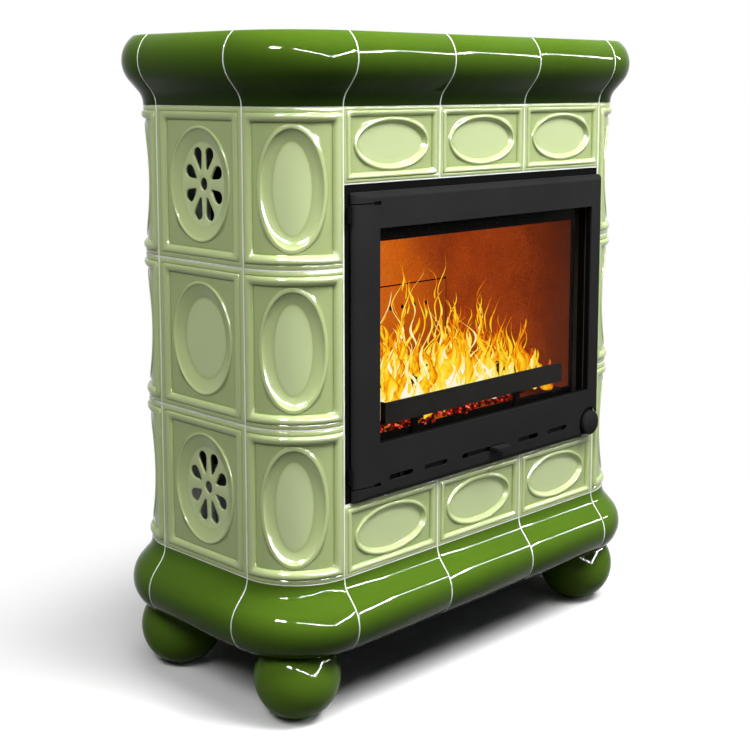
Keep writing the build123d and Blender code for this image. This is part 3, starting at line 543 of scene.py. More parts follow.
def makeCornerTiles():
    stations = tileStations(cornerTileLook, (radius * math.pi / 4 - joint / 2, (rowPitch - joint) / 2))
    for name, (side, end, degrees) in corners.items():
        bm = bmesh.new()
        for row in range(rowCount):
            centre = (side * halfFront, end * halfSide, rowCentre(row))
            makeTile(bm, stations, bentSpot(centre, math.radians(degrees + 135)))
        keepTile(bm, "cornerTiles." + name, "corner_tiles_" + name)
    print("corner tiles")


# Side tiles, plain and with a rosette of vent holes
sideTileLook = {
    "margins": (7.5, 7.0), "rolls": (15.5, 13.0), "rise": 3.2, "mouth": (74.5, 91.0), "floor": (52.5, 66.5),
    "depth": -11.0, "crown": 0.0, "lip": (5.0, 2.0), "roundness": 0.25,
    "petals": 8, "petalTip": (21.0, 24.0), "petalEnd": (39.0, 52.0), "petalRadius": 10.4, "tipRadius": 2.8,
    "endSteps": 18, "tipSteps": 8, "hub": (8.5, 10.0), "hubSteps": 26,
    "arris": 1.8, "arrisSteps": 5, "darkening": 6.5, "floorTone": 0.12,
}


def petalOutline(look, index, grow):
    # a teardrop: a round outer end and two straight flanks to a small round tip
    across, up = roundTurn((index + 0.5) / look["petals"])
    tip = Vector((look["petalTip"][0] * across, look["petalTip"][1] * up))
    end = Vector((look["petalEnd"][0] * across, look["petalEnd"][1] * up))
    axis = (end - tip).normalized()
    flank = Vector((-axis.y, axis.x))
    start = tip + axis * look["tipRadius"]
    lean = math.asin((look["petalRadius"] - look["tipRadius"]) / (end - start).length)
    points = []
    for centre, size, low, high, steps in (
        (end, look["petalRadius"], -math.pi / 2 - lean, math.pi / 2 + lean, look["endSteps"]),
        (start, look["tipRadius"], math.pi / 2 + lean, math.pi * 1.5 - lean, look["tipSteps"]),
    ):
        for step in range(steps):
            turn = low + (high - low) * step / (steps - 1)
            points.append(centre + (axis * math.cos(turn) + flank * math.sin(turn)) * (size + grow))
    return points


def ovalOutline(half, steps, roundness=1):
    return [rectangleOval(step / steps, *half, roundness) for step in range(steps)]


def pierceFloor(bm, look, half, spot):
    # the floor and the back between the holes, then the rounded rims and walls of the holes
    around, back, depth = tileRelief["around"], tileRelief["back"], look["depth"]
    layer = vertexLayer(bm, "glazeAndShade")

    def loop(points, height):
        # the walls of a hole are painted darker the deeper they go: painted shade
        tone = min(1.0, max(look["floorTone"], (depth - look["arris"] - height) / look["darkening"]))
        verts = [bm.verts.new(spot(*point, height)) for point in points]
        for vert in verts:
            vert[layer] = tone
        return [bm.edges.new((verts[i - 1], verts[i])) for i in range(len(verts))]

    def holeOutline(index, grow):
        if index < look["petals"]:
            return petalOutline(look, index, grow)
        return ovalOutline([size + grow for size in look["hub"]], look["hubSteps"])

    face = loop(ovalOutline(look["floor"], around), depth)
    rear = loop(ovalOutline(half, around, 0), back)
    profile = []
    for step in range(look["arrisSteps"] + 1):
        turn = math.pi / 2 * step / look["arrisSteps"]
        profile.append((look["arris"] * (1 - math.sin(turn)), depth - look["arris"] * (1 - math.cos(turn))))
    profile.append((0.0, back))
    holes = []
    for index in range(look["petals"] + 1):
        rings = [loop(holeOutline(index, grow), height) for grow, height in profile]
        face += rings[0]
        rear += rings[-1]
        holes.append(rings)
    for edges in (face, rear):
        bmesh.ops.triangle_fill(bm, use_beauty=True, use_dissolve=False, edges=edges)
    for rings in holes:
        for first, second in zip(rings, rings[1:]):
            bmesh.ops.bridge_loops(bm, edges=first + second)


def makeSideTiles():
    look = sideTileLook
    half = ((pitch - joint) / 2, (rowPitch - joint) / 2)
    stations = tileStations(look, half)
    # a pierced tile ends where its floor begins, and has no middle of the back
    pierced = [s for s in stations[1:] if s[0] >= look["floor"][0] or s[3] == 0]
    # its last ring takes the floor's light tone: a painted highlight where the cove meets the floor
    pierced[-1] = (*pierced[-1][:4], look["floorTone"])
    for side, (sign, _) in sides.items():
        for row, kind in enumerate(("lower_vent", "middle_plain", "upper_vent")):
            spot = flatSpot((sign * halfWidth, 0, rowCentre(row)), (sign, 0, 0))
            bm = bmesh.new()
            vent = kind.endswith("vent")
            makeTile(bm, pierced if vent else stations, spot)
            if vent:
                pierceFloor(bm, look, half, spot)
            keepTile(bm, f"sideTile.{side}.{kind}", f"tile_{side}_{kind}")
    print("side tiles")


# Strip tiles over and under the door
stripTileLook = {
    "margins": (4.5, 4.0), "rolls": (10.5, 9.5), "rise": 3.4, "mouth": (82.0, 39.5), "floor": (73.0, 32.0),
    "depth": -7.2, "crown": 0.5, "lip": (6.5, 2.9), "roundness": 0.5,
}


def makeStripTiles():
    stations = tileStations(stripTileLook, ((pitch - joint) / 2, (stripPitch - joint) / 2))
    for name, low in (("lower", base), ("upper", top - stripPitch)):
        bm = bmesh.new()
        for x in columns:
            makeTile(bm, stations, flatSpot((x, -halfDepth, low + stripPitch / 2), (0, -1, 0)))
        keepTile(bm, "stripTiles." + name, "strip_tiles_" + name)
    print("strip tiles")


# Mouldings: cornice and plinth have the same section, the plinth's upside down
mouldingLook = {
    "height": 114.5, "noseRadius": 52.0, "noseReach": 34.5, "noseLevel": 73.0, "coveRadius": 36.0,
    "wall": 12.0, "flange": 28.0, "ledge": 30.0, "hollow": (5.0, 8.0),
    "coveSteps": 10, "noseSteps": 20, "cornerSteps": 28, "arris": 1.4, "sharp": 50, "jointReach": 10.0,
    # how dark the glaze is painted at the cove, in the middle and past the nose: painted shade where the
    # moulding faces down, on the cornice's cove and under the plinth's nose
    "corniceTone": (0.6, 0.42, 0.28), "plinthTone": (0.27, 0.26, 0.5),
}
mouldingLevels = {"plinth": base - mouldingLook["height"], "cornice": top}


def mouldingSection(look, inset=0.0):
    # outwards and up from the tile face: a cove, a slope and a round nose, then the hollow back
    cove = Vector((look["coveRadius"], 0))
    nose = Vector((look["noseReach"] - look["noseRadius"], look["noseLevel"]))
    coveRadius, noseRadius = look["coveRadius"] + inset, look["noseRadius"] - inset
    span = nose - cove
    lean = math.atan2(span.y, span.x) + math.acos((coveRadius + noseRadius) / span.length)
    rise = math.asin((look["height"] - look["noseLevel"]) / look["noseRadius"])
    points = []
    for centre, size, low, high, steps in (
        (cove, coveRadius, math.pi, lean, look["coveSteps"]),
        (nose, noseRadius, lean - math.pi, rise, look["noseSteps"]),
    ):
        for step in range(steps + 1):
            turn = low + (high - low) * step / steps
            points.append(centre + Vector((math.cos(turn), math.sin(turn))) * size)
    under = look["height"] - look["wall"]
    reach, drop = look["hollow"]
    points += [(-look["flange"], look["height"] - inset), (-look["flange"], under), (reach, under - drop)]
    return points + [(-look["wall"], look["ledge"]), (-look["wall"], 0.0)]


def swept(points, run, slack=0.0):
    # the section drawn outwards and up, then extruded along X, or spun round a corner where run is 0
    bm = bmesh.new()
    face = bm.faces.new([bm.verts.new((0, point[0], point[1])) for point in points])
    if run:
        bmesh.ops.translate(bm, verts=bm.verts, vec=(-run / 2, 0, 0))
        grown = bmesh.ops.extrude_face_region(bm, geom=[face])
        fresh = [item for item in grown["geom"] if isinstance(item, bmesh.types.BMVert)]
        bmesh.ops.translate(bm, verts=fresh, vec=(run, 0, 0))
    else:
        bmesh.ops.translate(bm, verts=bm.verts, vec=(0, radius, 0))
        bmesh.ops.transform(bm, matrix=Matrix.Rotation(slack, 4, "Z"), verts=bm.verts)
        bmesh.ops.spin(bm, geom=bm.faces[:] + bm.edges[:] + bm.verts[:], axis=(0, 0, 1), cent=(0, 0, 0),
                       angle=math.pi / 2 - 2 * slack, steps=mouldingLook["cornerSteps"], use_merge=False)
    bmesh.ops.recalc_face_normals(bm, faces=bm.faces)
    return bm


def turned(x, y, z, degrees):
    return Matrix.Translation((x * mm, y * mm, z * mm)) @ Matrix.Rotation(math.radians(degrees), 4, "Z")


def cornerPlaces(level):
    return [turned(x * halfFront, y * halfSide, level, degrees) for x, y, degrees in corners.values()]


def settled(bm, place):
    bmesh.ops.scale(bm, vec=(mm, mm, mm), verts=bm.verts)
    bmesh.ops.transform(bm, matrix=place, verts=bm.verts)
    return meshFrom(bm, "part")


def turnedOver(bm, height):
    bmesh.ops.scale(bm, vec=(1, 1, -1), verts=bm.verts)
    bmesh.ops.translate(bm, vec=(0, 0, height), verts=bm.verts)
    bmesh.ops.reverse_faces(bm, faces=bm.faces)


def mouldingPiece(kind, run, place):
    look = mouldingLook
    slack = 0.0 if run else joint / 2 / (radius + look["jointReach"])
    bm = swept(mouldingSection(look), run, slack)
    ends = [f for f in bm.faces if len(f.verts) > 4]
    rim = [e for e in bm.edges if sum(f in ends for f in e.link_faces) == 1]
    bmesh.ops.bevel(bm, geom=rim, offset=look["arris"], segments=3, profile=0.5, affect="EDGES",
                    material=-1, clamp_overlap=True)
    layer = vertexLayer(bm, "glazeAndShade")
    # the tone runs from the cove through the middle to past the nose: painted shade on the parts that face
    # down
    first, middle, last = look[kind + "Tone"]
    for vert in bm.verts:
        level = vert.co.z / look["height"] * 2
        vert[layer] = first + (middle - first) * min(1.0, level) + (last - middle) * max(0.0, level - 1)
    if kind == "plinth":
        turnedOver(bm, look["height"])
    return settled(bm, place)


def gathered(meshes):
    bm = bmesh.new()
    for mesh in meshes:
        bm.from_mesh(mesh)
        bpy.data.meshes.remove(mesh)
    return bm


def makeMouldings():
    run = pitch - joint
    for kind, level in mouldingLevels.items():
        groups = {
            "corners": (0, cornerPlaces(level)),
            "front": (run, [turned(x, -halfDepth, level, 180) for x in columns]),
            "rear": (run, [turned(x, halfDepth, level, 0) for x in columns]),
        }
        for side, (sign, degrees) in sides.items():
            groups[side] = (run, [turned(sign * halfWidth, 0, level, degrees)])
        for group, (length, places) in groups.items():
            bm = gathered([mouldingPiece(kind, length, place) for place in places])
            title = kind + group.capitalize()
            keep(bm, title, "stove", "darkGlaze", [f"{kind}_{group}"], mouldingLook["sharp"])
    print("mouldings")


# Mortar in the joints, a little behind the glaze
jointLook = {"width": 2.3, "recess": 0.45, "depth": 6.0}


def jointPlaces():
    # where two pieces meet round the body: place, turn about Z
    ends = [(column - 1.5) * pitch for column in range(4)]
    places = [(x, -halfDepth, 180) for x in ends] + [(x, halfDepth, 0) for x in ends]
    for sign, degrees in sides.values():
        places += [(sign * halfWidth, end * halfSide, degrees) for end in (-1, 1)]
    return places


def uprightSpans(x, y):
    # between two flat tiles of the front the door interrupts the joint, and the rear has a panel
    if abs(x) > halfFront - 1:
        return [(base, top)]
    return [(base, base + stripPitch), (top - stripPitch, top)] if y < 0 else []


def makeJoints():
    look = jointLook
    width, face, back = look["width"], -look["recess"], -look["depth"]

    def strip(low, high):
        return [(back, low), (face, low), (face, high), (back, high)]

    parts = []
    for kind, level in mouldingLevels.items():
        for x, y, degrees in jointPlaces():
            bm = swept(mouldingSection(mouldingLook, look["recess"]), width)
            if kind == "plinth":
                turnedOver(bm, mouldingLook["height"])
            parts.append(settled(bm, turned(x, y, level, degrees)))
    for x, y, degrees in jointPlaces():
        for low, high in uprightSpans(x, y):
            parts.append(settled(swept(strip(low, high), width), turned(x, y, 0, degrees)))
    for row in range(rowCount + 1):
        level = base + row * rowPitch
        bed = strip(level - width / 2, level + width / 2)
        parts += [settled(swept(bed, 0), place) for place in cornerPlaces(0)]
        for sign, degrees in sides.values():
            parts.append(settled(swept(bed, pitch), turned(sign * halfWidth, 0, 0, degrees)))
        if row in (0, rowCount):
            parts.append(settled(swept(bed, pitch * len(columns)), turned(0, -halfDepth, 0, 180)))
    keep(gathered(parts), "jointMortar", "stove", "jointMortar", sharpAngle=30)


# Ball feet
footLook = {
    "radius": 71.5, "sink": 2.0, "rise": 117.5, "offset": 44.0, "sole": 1.5, "steps": 40, "around": 72,
    "tone": 0.22,
}


def makeFeet():
    look = footLook
    size = look["radius"]
    centre = size - look["sink"]
    low = -math.asin(centre / size)
    high = math.asin((look["rise"] - centre) / size)
    stations = [(0.0, 0.0), (math.cos(low) * size - look["sole"], 0.0)]
    for step in range(look["steps"] + 1):
        turn = low + (high - low) * step / look["steps"]
        stations.append((math.cos(turn) * size, centre + math.sin(turn) * size))
    stations.append((0.0, look["rise"]))
    bm = bmesh.new()
    for side, end, _ in corners.values():
        foot = Vector((side * (halfFront + look["offset"]), end * (halfSide + look["offset"]), 0))

        def place(turn, station, foot=foot):
            across, up = roundTurn(turn)
            return (foot + Vector((station[0] * across, station[0] * up, station[1]))) * mm, look["tone"]
        wrappedSheet(bm, look["around"], stations, place)
    keep(bm, "ballFeet", "stove", "darkGlaze", ["ball_feet"], 60)
    print("feet")


# Door cover: a sheet with rolled edges, a window, air slots and a notch for the knob
coverLook = {
    "left": -317.0, "right": 328.0, "low": 356.5, "high": 854.5, "front": -233.0, "rear": -222.0,
    "leftRoll": 41.0, "rightRoll": 5.0, "endRoll": 11.0, "sheet": 2.6, "soften": 0.7,
    "leftSteps": 20, "rightSteps": 8, "endSteps": 10, "flatSteps": 6,
    "window": (-262.0, 297.0, 447.0, 796.0), "slotLevel": 387.0, "slotHeight": 9.0, "slotRound": 0.97,
    "reliefs": (380.0, 836.0), "reliefLine": 2.0, "reliefEnd": (16.0, 6.0),
    "slots": ((-241.0, -184.0), (-157.0, -100.0), (-61.5, 52.0), (90.0, 147.0), (174.5, 231.5)),
    "notch": 30.0, "notchSides": 64, "hingeLevels": (395.0, 812.0), "hingeNotch": (9.0, 20.0, 0.4),
    "play": 4.0,
}
knobLook = {
    "x": 302.0, "z": 383.0, "rear": -230.5, "radius": 23.0, "thick": 9.0, "dome": 3.0, "round": 3.0,
    "roundSteps": 6, "around": 64, "edge": 0.8,
}


def quarter(steps, first=0):
    # the angles of a quarter turn
    return [math.pi / 2 * step / steps for step in range(first, steps + 1)]


def rolledOff(share):
    # how far a round edge has fallen back at this share of its width
    return 1 - math.sqrt(max(0.0, 1 - share ** 2))


def coverDepth(look, x, z):
    # the front of the cover: where two rolls meet, one runs softly into the other
    depth = look["rear"] - look["front"]
    left = (look["left"] + look["leftRoll"] - x) / look["leftRoll"]
    right = (x - look["right"] + look["rightRoll"]) / look["rightRoll"]
    below = (look["low"] + look["endRoll"] - z) / look["endRoll"]
    above = (z - look["high"] + look["endRoll"]) / look["endRoll"]
    falls = [rolledOff(max(0.0, share)) for share in (left, below, above)]
    falls.append(rolledOff(max(0.0, right)) * look["rightRoll"] / depth)
    return look["front"] + depth * min(1.0, sum(fall ** 3 for fall in falls) ** (1 / 3))


def coverGrid(look):
    # the lines of the sheet across and up, close together on the rolls
    leftEnd, rightEnd = look["left"] + look["leftRoll"], look["right"] - look["rightRoll"]
    roll, flat = look["endRoll"], look["flatSteps"]
    xs = [leftEnd - look["leftRoll"] * math.cos(turn) for turn in quarter(look["leftSteps"])]
    xs += [leftEnd + (rightEnd - leftEnd) * step / flat for step in range(1, flat + 1)]
    xs += [rightEnd + look["rightRoll"] * math.sin(turn) for turn in quarter(look["rightSteps"], 1)]
    rise = [roll * (1 - math.cos(turn)) for turn in quarter(look["endSteps"])]
    span = look["high"] - look["low"] - 2 * roll
    zs = [look["low"] + level for level in rise]
    zs += [look["low"] + roll + span * step / flat for step in range(1, flat)]
    zs += [look["high"] - level for level in reversed(rise)]
    return xs, zs


def coverShell(look):
    xs, zs = coverGrid(look)
    bm = bmesh.new()
    made = bmesh.ops.create_grid(bm, x_segments=len(xs) - 1, y_segments=len(zs) - 1, size=0.5)
    for vert in made["verts"]:
        x = xs[round((vert.co.x + 0.5) * (len(xs) - 1))]
        z = zs[round((vert.co.y + 0.5) * (len(zs) - 1))]
        vert.co = Vector((x, coverDepth(look, x, z), z)) * mm
    bmesh.ops.recalc_face_normals(bm, faces=bm.faces)
    if sum(face.normal.y * face.calc_area() for face in bm.faces) > 0:
        bmesh.ops.reverse_faces(bm, faces=bm.faces)
    shell = bmesh.ops.extrude_face_region(bm, geom=bm.faces[:])
    sheet = look["sheet"]
    for vert in [item for item in shell["geom"] if isinstance(item, bmesh.types.BMVert)]:
        x, y, z = [value / mm for value in vert.co]
        x = min(max(x, look["left"] + sheet), look["right"] - sheet)
        z = min(max(z, look["low"] + sheet), look["high"] - sheet)
        vert.co = (x * mm, min(look["rear"], y + sheet) * mm, z * mm)
    return bm


def addBlock(bm, x0, x1, y0, y1, z0, z1, rounding=0.0):
    verts = bmesh.ops.create_cube(bm, size=1.0)["verts"]
    bmesh.ops.scale(bm, vec=(x1 - x0, y1 - y0, z1 - z0), verts=verts)
    bmesh.ops.translate(bm, vec=((x0 + x1) / 2, (y0 + y1) / 2, (z0 + z1) / 2), verts=verts)
    if rounding:
        edges = [e for e in {edge for v in verts for edge in v.link_edges}
                 if abs(e.verts[0].co.y - e.verts[1].co.y) > 0.5 * (y1 - y0)]
        bmesh.ops.bevel(bm, geom=edges, offset=rounding, segments=8, profile=0.5, affect="EDGES", material=-1)


def coverHoles(look):
    # the window, two fine cuts with a small slot each, the air slots, the notches for the hinges,
    # and for the knob a round notch with all that lies right of and under its middle
    bm = bmesh.new()
    play, left, rear = look["play"], look["left"], look["rear"]
    near, far = look["front"] - play, rear + play
    x0, x1, z0, z1 = look["window"]
    addBlock(bm, x0, x1, near, far, z0, z1)
    rollEnd = left + look["leftRoll"]
    for level in look["reliefs"]:
        line, half = look["reliefLine"] / 2, look["reliefEnd"][1] / 2
        addBlock(bm, left - play, rollEnd + line, near, far, level - line, level + line)
        addBlock(bm, rollEnd, rollEnd + look["reliefEnd"][0], near, far, level - half, level + half)
    level, half = look["slotLevel"], look["slotHeight"] / 2
    for x0, x1 in look["slots"]:
        addBlock(bm, x0, x1, near, far, level - half, level + half, half * look["slotRound"])
    deep, tall, gap = look["hingeNotch"]
    for level in look["hingeLevels"]:
        addBlock(bm, left - play, left + deep, rear - look["sheet"], far, level - gap, level + tall + gap)
    disc = bmesh.ops.create_cone(bm, cap_ends=True, segments=look["notchSides"], radius1=look["notch"],
                                 radius2=look["notch"], depth=far - near)
    middle = Matrix.Translation((knobLook["x"], (near + far) / 2, knobLook["z"]))
    turn = middle @ Matrix.Rotation(math.pi / 2, 4, "X")
    bmesh.ops.transform(bm, matrix=turn, verts=disc["verts"])
    addBlock(bm, knobLook["x"], look["right"] + play, near, far, look["low"] - play, knobLook["z"])
    return bm


def cutAway(piece, bm):
    bmesh.ops.scale(bm, vec=(mm, mm, mm), verts=bm.verts)
    cutter = placed("tool", meshFrom(bm, "tool"))
    cut = piece.modifiers.new("cut", "BOOLEAN")
    cut.operation = "DIFFERENCE"
    cut.solver = "EXACT"
    cut.object = cutter
    cut.use_self = True
    applied(piece)
    mesh = cutter.data
    bpy.data.objects.remove(cutter)
    bpy.data.meshes.remove(mesh)


def makeDoorCover():
    look = coverLook
    piece = keep(coverShell(look), "doorCover", "door", "blackSteel", ["door_cover"])
    cutAway(piece, coverHoles(look))
    softened(piece, look["soften"], 50)
    applied(piece)
    piece.data.shade_smooth()
    piece.data.set_sharp_from_angle(angle=math.radians(40))
    even = piece.modifiers.new("even", "WEIGHTED_NORMAL")
    even.keep_sharp = True
    print("door cover")


# Knob
def makeKnob():
    look = knobLook
    size, rear, edge = look["radius"], look["rear"], look["edge"]
    front = rear - look["thick"]
    stations = [(0.0, rear), (size - edge, rear), (size, rear - edge)]
    for turn in quarter(look["roundSteps"]):
        reach = size - look["round"] * (1 - math.cos(turn))
        stations.append((reach, front + look["round"] * (1 - math.sin(turn))))
    for share in (0.75, 0.5, 0.25, 0.0):
        stations.append(((size - look["round"]) * share, front - look["dome"] * (1 - share ** 2)))

    def place(turn, station):
        across, up = roundTurn(turn)
        reach, y = station
        return Vector((look["x"] + reach * across, y, look["z"] + reach * up)) * mm, 0.5

    bm = bmesh.new()
    wrappedSheet(bm, look["around"], stations, place)
    keep(bm, "knob", "latch", "blackSteel", ["latch_knob"], 50)
    print("knob")


# Flames, behind the retainer
fireLook = {
    "seed": 4, "left": -228.0, "right": 248.0, "near": -176.0, "far": -30.0,
    "root": 452.0, "rootSpread": (-6, 30), "crowding": 1.3,
    # how high the flames reach across the fire: x, level
    "tips": ((-240, 560), (-200, 615), (-162, 662), (-110, 640), (-56, 700), (-20, 672), (30, 650), (93, 695),
             (120, 610), (145, 618), (200, 585), (253, 560)),
    # how many, share of the height, width, heat, how far it winds
    "kinds": ((70, (0.5, 0.85), (13.0, 24.0), (0.55, 0.8), 1.0),
              (90, (0.4, 1.0), (5.0, 11.0), (0.85, 1.15), 1.7),
              (80, (0.2, 0.45), (10.0, 20.0), (0.95, 1.35), 0.9)),
    # thin tongues that have come loose: how many, under the tips, height, width, heat, winding
    "wisps": 30, "wispDrop": (30, 110), "wispHeight": (30, 75), "wispWidth": (2.2, 4.5), "wispHeat": 0.6,
    "wispWinding": 1.6,
}
tongueLook = {
    "rows": 32, "around": 10, "waveLength": (60.0, 95.0), "swing": (0.6, 1.2), "lean": (-0.12, 0.18),
    "hook": 14.0, "facing": (-80, -10), "flatness": 0.4,
}


def tipLevel(x):
    points = fireLook["tips"]
    for (x0, z0), (x1, z1) in zip(points, points[1:]):
        if x <= x1:
            return z0 + (z1 - z0) * max(0.0, (x - x0) / (x1 - x0))
    return points[-1][1]


def addTongue(bm, draw, root, height, width, firelight, winding):
    # a flattened tongue that swells over its root, winds from side to side and hooks over at its point
    look = tongueLook
    waves = height / draw.uniform(*look["waveLength"])
    phase = draw.uniform(0, 6.28)
    phaseBack = draw.uniform(0, 6.28)
    swing = draw.uniform(*look["swing"]) * (3.5 + width * 0.4) * winding
    lean = draw.uniform(*look["lean"]) * height
    hook = draw.uniform(-1, 1) * look["hook"] * winding
    facing = math.radians(draw.uniform(*look["facing"]))
    along = Vector((math.cos(facing), math.sin(facing), 0))
    through = Vector((-along.y, along.x, 0))

    def place(turn, share):
        wave = phase + 2 * math.pi * waves * share ** 0.85
        sway = math.sin(wave) * swing * min(1.0, share * 2.5)
        sway += lean * share ** 1.5 + hook * max(0.0, share - 0.7) ** 2 * 11
        swayBack = math.sin(wave * 0.8 + phaseBack) * swing * 0.6 * share
        pinch = 0.68 + 0.32 * math.cos(wave * 1.3 + phaseBack)
        half = width * pinch * (0.35 + 0.65 * min(1.0, share * 4)) * (1 - share) ** 0.7 * (1 - 0.35 * share)
        across, thick = roundTurn(turn)
        middle = Vector(root) + Vector((sway, swayBack, height * share))
        spot = middle + along * across * half + through * thick * half * look["flatness"]
        return spot * mm, firelight - 0.35 * share ** 1.3 - 0.3 * across ** 2

    stations = [row / look["rows"] for row in range(look["rows"] + 1)]
    wrappedSheet(bm, look["around"], stations, place, "flameHeat")


def makeFlames():
    look = fireLook
    draw = random.Random(look["seed"])
    bm = bmesh.new()
    for count, heights, widths, heats, winding in look["kinds"]:
        for _ in range(count):
            x = look["left"] + (look["right"] - look["left"]) * draw.random() ** look["crowding"]
            y = look["near"] + (look["far"] - look["near"]) * draw.random() ** look["crowding"]
            grade = draw.random() ** 1.6
            height = (tipLevel(x) - look["root"]) * (heights[0] + (heights[1] - heights[0]) * grade)
            width = widths[1] - (widths[1] - widths[0]) * grade
            # the fire is cooler towards the right
            firelight = draw.uniform(*heats) - 0.25 * max(0.0, (x - 20) / 200)
            root = (x, y, look["root"] + draw.uniform(*look["rootSpread"]))
            addTongue(bm, draw, root, height, width, firelight, winding)
    for _ in range(look["wisps"]):
        x = draw.uniform(look["left"] + 20, look["right"])
        y = draw.uniform(look["near"], look["far"])
        root = (x, y, tipLevel(x) - draw.uniform(*look["wispDrop"]))
        height, width = draw.uniform(*look["wispHeight"]), draw.uniform(*look["wispWidth"])
        addTongue(bm, draw, root, height, width, look["wispHeat"], look["wispWinding"])
    keep(bm, "flames", "stove", "flameLight")
    print("flames")


# Embers: a bed on the floor and a row of small ones in front
emberLook = {
    "seed": 5, "low": 440.5, "bed": 120, "bedSize": (8, 17), "bedX": (-236, 236), "bedY": (-160, 20),
    "bedHeight": 0.35, "bedRise": (0, 12),
    "front": 110, "frontSize": (5, 10), "frontX": (-240, 180), "frontY": (-182, -150),
    "frontRise": (2, 18), "lumps": 0.35, "lumpScale": 0.16,
}


def makeEmbers():
    look = emberLook
    draw = random.Random(look["seed"])
    bm = bmesh.new()
    for index in range(look["bed"] + look["front"]):
        size = draw.uniform(*look["bedSize"])
        x, y = draw.uniform(*look["bedX"]), draw.uniform(*look["bedY"])
        z = size * look["bedHeight"] + draw.uniform(*look["bedRise"])
        if index >= look["bed"]:
            size = draw.uniform(*look["frontSize"])
            x = look["frontX"][0] + (look["frontX"][1] - look["frontX"][0]) * draw.random() ** 1.2
            y, z = draw.uniform(*look["frontY"]), draw.uniform(*look["frontRise"])
        spot = Vector((x, y, look["low"] + z))
        verts = bmesh.ops.create_icosphere(bm, subdivisions=2, radius=size)["verts"]
        squeeze = Vector((1.0, draw.uniform(0.6, 1.0), draw.uniform(0.5, 0.8)))
        for vert in verts:
            lump = 1 + look["lumps"] * noise.noise(vert.co * look["lumpScale"] + spot * 0.1)
            vert.co = vert.co * squeeze * lump
        bmesh.ops.rotate(bm, verts=verts, matrix=Matrix.Rotation(draw.uniform(0, 6), 3, "Z"))
        for vert in verts:
            vert.co = vert.co + spot
            vert.co.z = max(vert.co.z, look["low"])
            vert.co = vert.co * mm
    keep(bm, "embers", "stove", "emberLight", closed=False)
    print("embers")


# Logs: two ends and a radius each
logLook = {
    "seed": 3, "around": 28, "steps": 14, "lumps": 0.22,
    "logs": (((-226, -120, 478), (40, -90, 486), 27), ((-180, -20, 472), (150, -60, 478), 30),
             ((-215, -75, 530), (-60, -20, 520), 20), ((-40, 10, 470), (215, -110, 474), 24)),
}


def makeLogs():
    look = logLook
    draw = random.Random(look["seed"])
    # how far along, share of the radius: the ends are closed by two rings
    stations = [(0.0, 0.0), (0.0, 0.75)] + [(step / look["steps"], 1.0) for step in range(look["steps"] + 1)]
    stations += [(1.0, 0.75), (1.0, 0.0)]
    bm = bmesh.new()
    for first, last, thick in look["logs"]:
        start, end = Vector(first), Vector(last)
        axis = (end - start).normalized()
        side = axis.cross(Vector((0, 0, 1))).normalized()
        over = side.cross(axis)
        shift = Vector((draw.uniform(0, 50), 0, 0))

        def place(turn, station, start=start, end=end, side=side, over=over, thick=thick, shift=shift):
            across, up = roundTurn(turn)
            out = side * across + over * up
            centre = start.lerp(end, station[0])
            lump = 1 + look["lumps"] * noise.noise(centre * 0.02 + out * 1.3 + shift)
            return (centre + out * thick * station[1] * lump) * mm, 0.5
        wrappedSheet(bm, look["around"], stations, place)
    keep(bm, "logs", "stove", "charredWood", sharpAngle=50)
    print("logs")


# The lower rear plate, with its row of air holes
rearPlateLook = {
    "front": 134.0, "back": 153.7, "half": 302.7, "low": 440.0, "high": 625.6, "edge": 2.2, "jointLine": 1.6,
    "holes": 15, "holeLevel": 579.0, "holeRadius": 4.5, "holePitch": 34.0, "holeSides": 20, "slip": 0.01,
}


def rearPlateOutline(bm, look):
    half, front = look["half"], look["front"]
    outline = ((-half, look["low"]), (half, look["low"]), (half, look["high"]), (-half, look["high"]))
    verts = [bm.verts.new((x, front, z)) for x, z in outline]
    edges = [bm.edges.new((verts[i - 1], verts[i])) for i in range(4)]
    for hole in range(look["holes"]):
        x = (hole - (look["holes"] - 1) / 2) * look["holePitch"]
        verts = bmesh.ops.create_circle(bm, segments=look["holeSides"], radius=look["holeRadius"])["verts"]
        bmesh.ops.rotate(bm, verts=verts, matrix=Matrix.Rotation(math.pi / 2, 3, "X"))
        bmesh.ops.translate(bm, verts=verts, vec=(x, front, look["holeLevel"]))
        edges += {edge for vert in verts for edge in vert.link_edges}
    return edges


